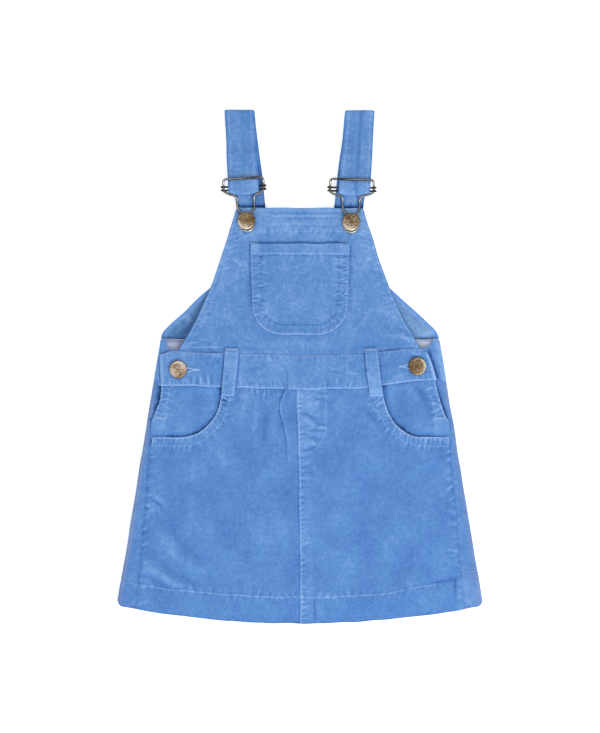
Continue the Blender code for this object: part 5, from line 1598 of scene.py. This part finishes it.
def tube(path, radius, sides, closed=False):
    """Points and faces of a round wire: a circle square to the path at each of its points."""
    ahead = unit(np.roll(path, -1, 0) - np.roll(path, 1, 0) if closed else np.gradient(path, axis=0))
    beside_it = np.cross(ahead, (0.0, 0.0, 1.0))
    short = np.linalg.norm(beside_it, axis=1)[:, None]
    beside_it = np.where(short < 1e-6, (1.0, 0.0, 0.0), beside_it / np.maximum(short, 1e-6))
    over = np.cross(beside_it, ahead)
    turn = np.arange(sides) * 2.0 * math.pi / sides
    circle = np.cos(turn)[None, :, None] * beside_it[:, None] + np.sin(turn)[None, :, None] * over[:, None]
    radius = np.broadcast_to(radius, len(path))[:, None, None]
    return (path[:, None] + radius * circle).reshape(-1, 3), ring_faces(len(path), sides, closed)


def top_highlight(sides):
    """Tone round a wire: a painted highlight along its top, and painted shade towards its sides and below."""
    over = np.sin(np.arange(sides) * 2.0 * math.pi / sides)
    return 0.95 * np.maximum(over, 0.0) ** 6 - 0.4


def metal_piece(name, node, parts, finish, tones):
    """One mesh from several (points, faces), with its faces turned outwards. It stands for the solid node."""
    points, faces, start = [], [], 0
    for part_points, part_faces in parts:
        points.append(part_points)
        faces += [[start + corner for corner in face] for face in part_faces]
        start += len(part_points)
    piece = new_piece(name, np.concatenate(points), faces, finish)
    face_outwards(piece.data)
    give_values(piece.data, "tone", tones)
    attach(piece, "root")
    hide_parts(node)


def on_buckle(side, out, up):
    """A place in a buckle's own plane, from its button outwards and up, leaning with the buckle."""
    turn = math.radians(side["lean"])
    shifted = out + side["frame_shift"] * ease(up, 20.0, 30.0)
    x = side["sign"] * (side["bib_out"] + shifted * math.cos(turn) + up * math.sin(turn))
    return x, side["bib_y"] - shifted * (math.sin(turn) + 0.02 * ease(up, 34.0, 39.0)) + up * math.cos(turn)


for side, side_name in zip(SIDES, SIDE_NAMES):
    wide = side["frame_half"]
    half = table(
        "out up",
        (wide / 2.0, 40.5),
        (wide - 3.0, 40.5),
        (wide - 0.8, 39.7),
        (wide, 37.6),
        (wide, 33.5),
        (wide, 30.0),
        (wide - 0.8, 28.1),
        (wide - 3.2, 26.7),
        (14.5, 25.7),
        (11.5, 24.8),
        (9.3, 23.7),
        (8.2, 21.9),
        (8.0, 19.6),
        (8.2, 17.0),
        (8.1, 14.4),
        (7.7, 12.0),
        (6.7, 9.8),
        (5.1, 7.8),
        (4.1, 5.2),
        (4.6, 1.4),
        (5.8, -3.0),
        (6.0, -5.8),
        (4.6, -8.0),
        (2.4, -9.2),
    )
    out = np.concatenate((half["out"], (0.0,), -half["out"][::-1], (0.0,)))
    up = np.concatenate((half["up"], (-9.4,), half["up"][::-1], (40.5,)))
    plan = smooth_path(np.column_stack((out, up)), 6, closed=True)
    out, up = plan[:, :1], plan[:, 1:]
    z = mix(mix(FRAME_Z, FRAME_SIDE_Z, ease(up, 18.0, 26.5)), FRAME_TOP_Z, ease(up, 34.6, 39.8))
    round_wire = tube(np.column_stack((*on_buckle(side, out, up), z)), FRAME_WIRE + 0.12, ROUND_SIDES, True)
    # A painted highlight along each wire's top and painted shade at its sides, painted light on the keyhole's
    # foot below the button, and darker on part of the top bar.
    tones = top_highlight(ROUND_SIDES) + 0.55 * (up < -3.0) - 0.35 * bell(up - 41.0, 1.5) * bell(out + 9.0, 8.0)
    node = f"buckle_frame_{side_name}"
    metal_piece(f"{node}_wire", node, [round_wire], bronze_wire, tones)
    hook = FRAME_WIRE + SLIDE_WIRE + GAP
    angles = np.radians(np.linspace(100.0, -90.0, 14))
    ends = wide + hook * np.cos(angles)
    end_z = FRAME_SIDE_Z + hook * np.sin(angles)
    out = np.concatenate((ends, np.linspace(wide, -wide, 12)[1:-1], -ends[::-1]))
    z = np.concatenate((end_z, np.full(10, SLIDE_Z), end_z[::-1]))
    round_end = 1.0 + 0.22 * ease(np.abs(out), wide - 6.0, wide - 3.0)
    round_end[[0, -1]] = 0.6
    parts = []
    for up in SLIDE_BARS_UP:
        bar = np.column_stack((*on_buckle(side, out, np.full(len(out), up)), z))
        parts.append(tube(bar, (SLIDE_WIRE + 0.1) * round_end, BAR_SIDES))
    for link_out in (-LINK_OUT, LINK_OUT):
        x, y = on_buckle(side, np.full(6, link_out), np.linspace(*SLIDE_BARS_UP, 6))
        parts.append(tube(np.column_stack((x, y, np.full(6, SLIDE_Z))), 0.5, LINK_SIDES))
    # The bars take the same painted highlight and shade, 0.4 darker again as painted shade under the strap;
    # the links are darker still.
    bar_tones = np.tile(top_highlight(BAR_SIDES) - 0.4, 2 * len(out))
    tones = np.concatenate((bar_tones, np.full(2 * 6 * LINK_SIDES, -0.6)))
    node = f"buckle_slide_{side_name}"
    metal_piece(f"{node}_wire", node, parts, bronze_wire, tones)

# ---- Buttons ---------------------------------------------------------------------------------------------
# Tack buttons of pressed brass, plated antique: a cap with a rolled rim, a ring of beads and a few raised
# marks within it, on a round shank. The face is bare of lettering, and each has its own painted light and
# rim highlight, and its own abrasion.
# Dark, plain and pale brass; the pale end shows mostly in the painted light and rim highlights.
brass_codes = ("#45331F", "#A48964", "#F4E6D4")
antique_brass = worn_and_highlit_metal("antique brass plate", brass_codes, 0.46, 0.0012, 1.6)
# For each button: how much lighter its face is overall, the turn towards which painted light brightens its
# face and how much, the turn of a painted highlight on its rim and how bright, and how crisp its marks are.
WEAR_AND_LIGHT = table(
    "overall lit_turn lit rim_turn rim crisp",
    (0.0, 4.1, 0.2, 4.1, 0.55, 1.0),
    (0.04, 4.4, 0.22, 4.5, 0.4, 1.0),
    (0.19, 1.6, 0.06, 1.5, 0.4, 2.2),
    (-0.06, 6.2, 0.1, 0.2, 0.65, 0.3),
)
CAP_RADIUS, SHANK_RADIUS = 8.5, 2.0
CAP = table(
    "radius height tone",
    (2.0, 0.0, -0.5),
    (5.0, 0.0, -0.4),
    (7.6, 0.05, -0.3),
    (8.2, 0.3, -0.35),
    (8.5, 0.9, -0.3),
    (8.4, 1.5, -0.2),
    (8.0, 2.0, -0.05),
    (7.4, 2.3, 0.12),
    (6.8, 2.3, 0.08),
    (6.4, 2.2, -0.05),
    (6.0, 2.2, 0.0),
    (5.2, 2.3, 0.06),
    (4.2, 2.35, 0.05),
    (3.2, 2.35, 0.02),
    (2.2, 2.4, 0.0),
    (1.2, 2.4, -0.06),
    (0.05, 2.4, -0.15),
)


def button(node, place, shank_z, cap_z, seed, wear_and_light):
    """A cap and shank spun about Z, with shallow dents and beads pressed into the sunk face of the cap."""
    steps = np.linspace(0.0, len(CAP) - 1.0, 6 * (len(CAP) - 1) + 1)
    grid = np.arange(len(CAP), dtype=float)
    radius, height, tone = (through(steps, grid, CAP[column]) for column in ("radius", "height", "tone"))
    radius = np.concatenate(((0.05, SHANK_RADIUS, SHANK_RADIUS), radius))[:, None]
    z = np.concatenate(((shank_z, shank_z, mix(shank_z, cap_z, 0.5)), cap_z + height))[:, None]
    tone = np.concatenate((np.full(3, -0.5), tone))[:, None]
    turn = np.arange(72) * 2.0 * math.pi / 72
    rng = np.random.default_rng(seed)
    press = 0.0
    # How many round the ring, the ring's radius and half width, and the height.
    for count, at_radius, wide, tall in ((26, 5.6, 0.6, 0.035), (5, 3.2, 1.4, 0.02), (2, 6.0, 3.0, 0.03)):
        press = press + tall * np.cos(count * turn + rng.uniform(0.0, 6.3)) * bell(radius - at_radius, wide)
    press = wear_and_light["crisp"] * press * (z > cap_z + 1.5) * ease(radius, 0.2, 1.2)
    points = np.stack((place[0] + radius * np.cos(turn), place[1] + radius * np.sin(turn), z + press), -1)
    # Painted light across the face towards lit_turn, a painted highlight on the rim towards rim_turn, the
    # cap's rings' own tones, and lighter raised marks.
    leaning = wear_and_light["lit"] * np.cos(turn - wear_and_light["lit_turn"]) * radius / CAP_RADIUS
    rim_light = wear_and_light["rim"] * np.maximum(np.cos(turn - wear_and_light["rim_turn"]), 0.0) ** 3 * bell(radius - 7.2, 1.1)
    face = ease(CAP_RADIUS - 0.2 - radius, 0.0, 1.2)
    tones = tone + 3.0 * press + (z > cap_z + 0.5) * (wear_and_light["overall"] * face + leaning + rim_light)
    cap = [(points.reshape(-1, 3), ring_faces(*points.shape[:2]))]
    metal_piece(f"{node}_cap", node, cap, antique_brass, tones)


BIB_SHANK_Z, BAND_TOP_Z = 4.3, 8.1
for number, (side, side_name) in enumerate(zip(SIDES, SIDE_NAMES)):
    place, cap_z = (side["sign"] * side["bib_out"], side["bib_y"]), FRAME_Z + FRAME_WIRE + GAP
    button(f"bib_button_{side_name}", place, BIB_SHANK_Z, cap_z, 111 + number, WEAR_AND_LIGHT[number])
    place, cap_z = (side["sign"] * side["waist_out"], side["waist_y"]), BAND_TOP_Z + GAP
    button(f"waist_button_{side_name}", place, BAND_FOLD_TOP + GAP, cap_z, 121 + number, WEAR_AND_LIGHT[2 + number])
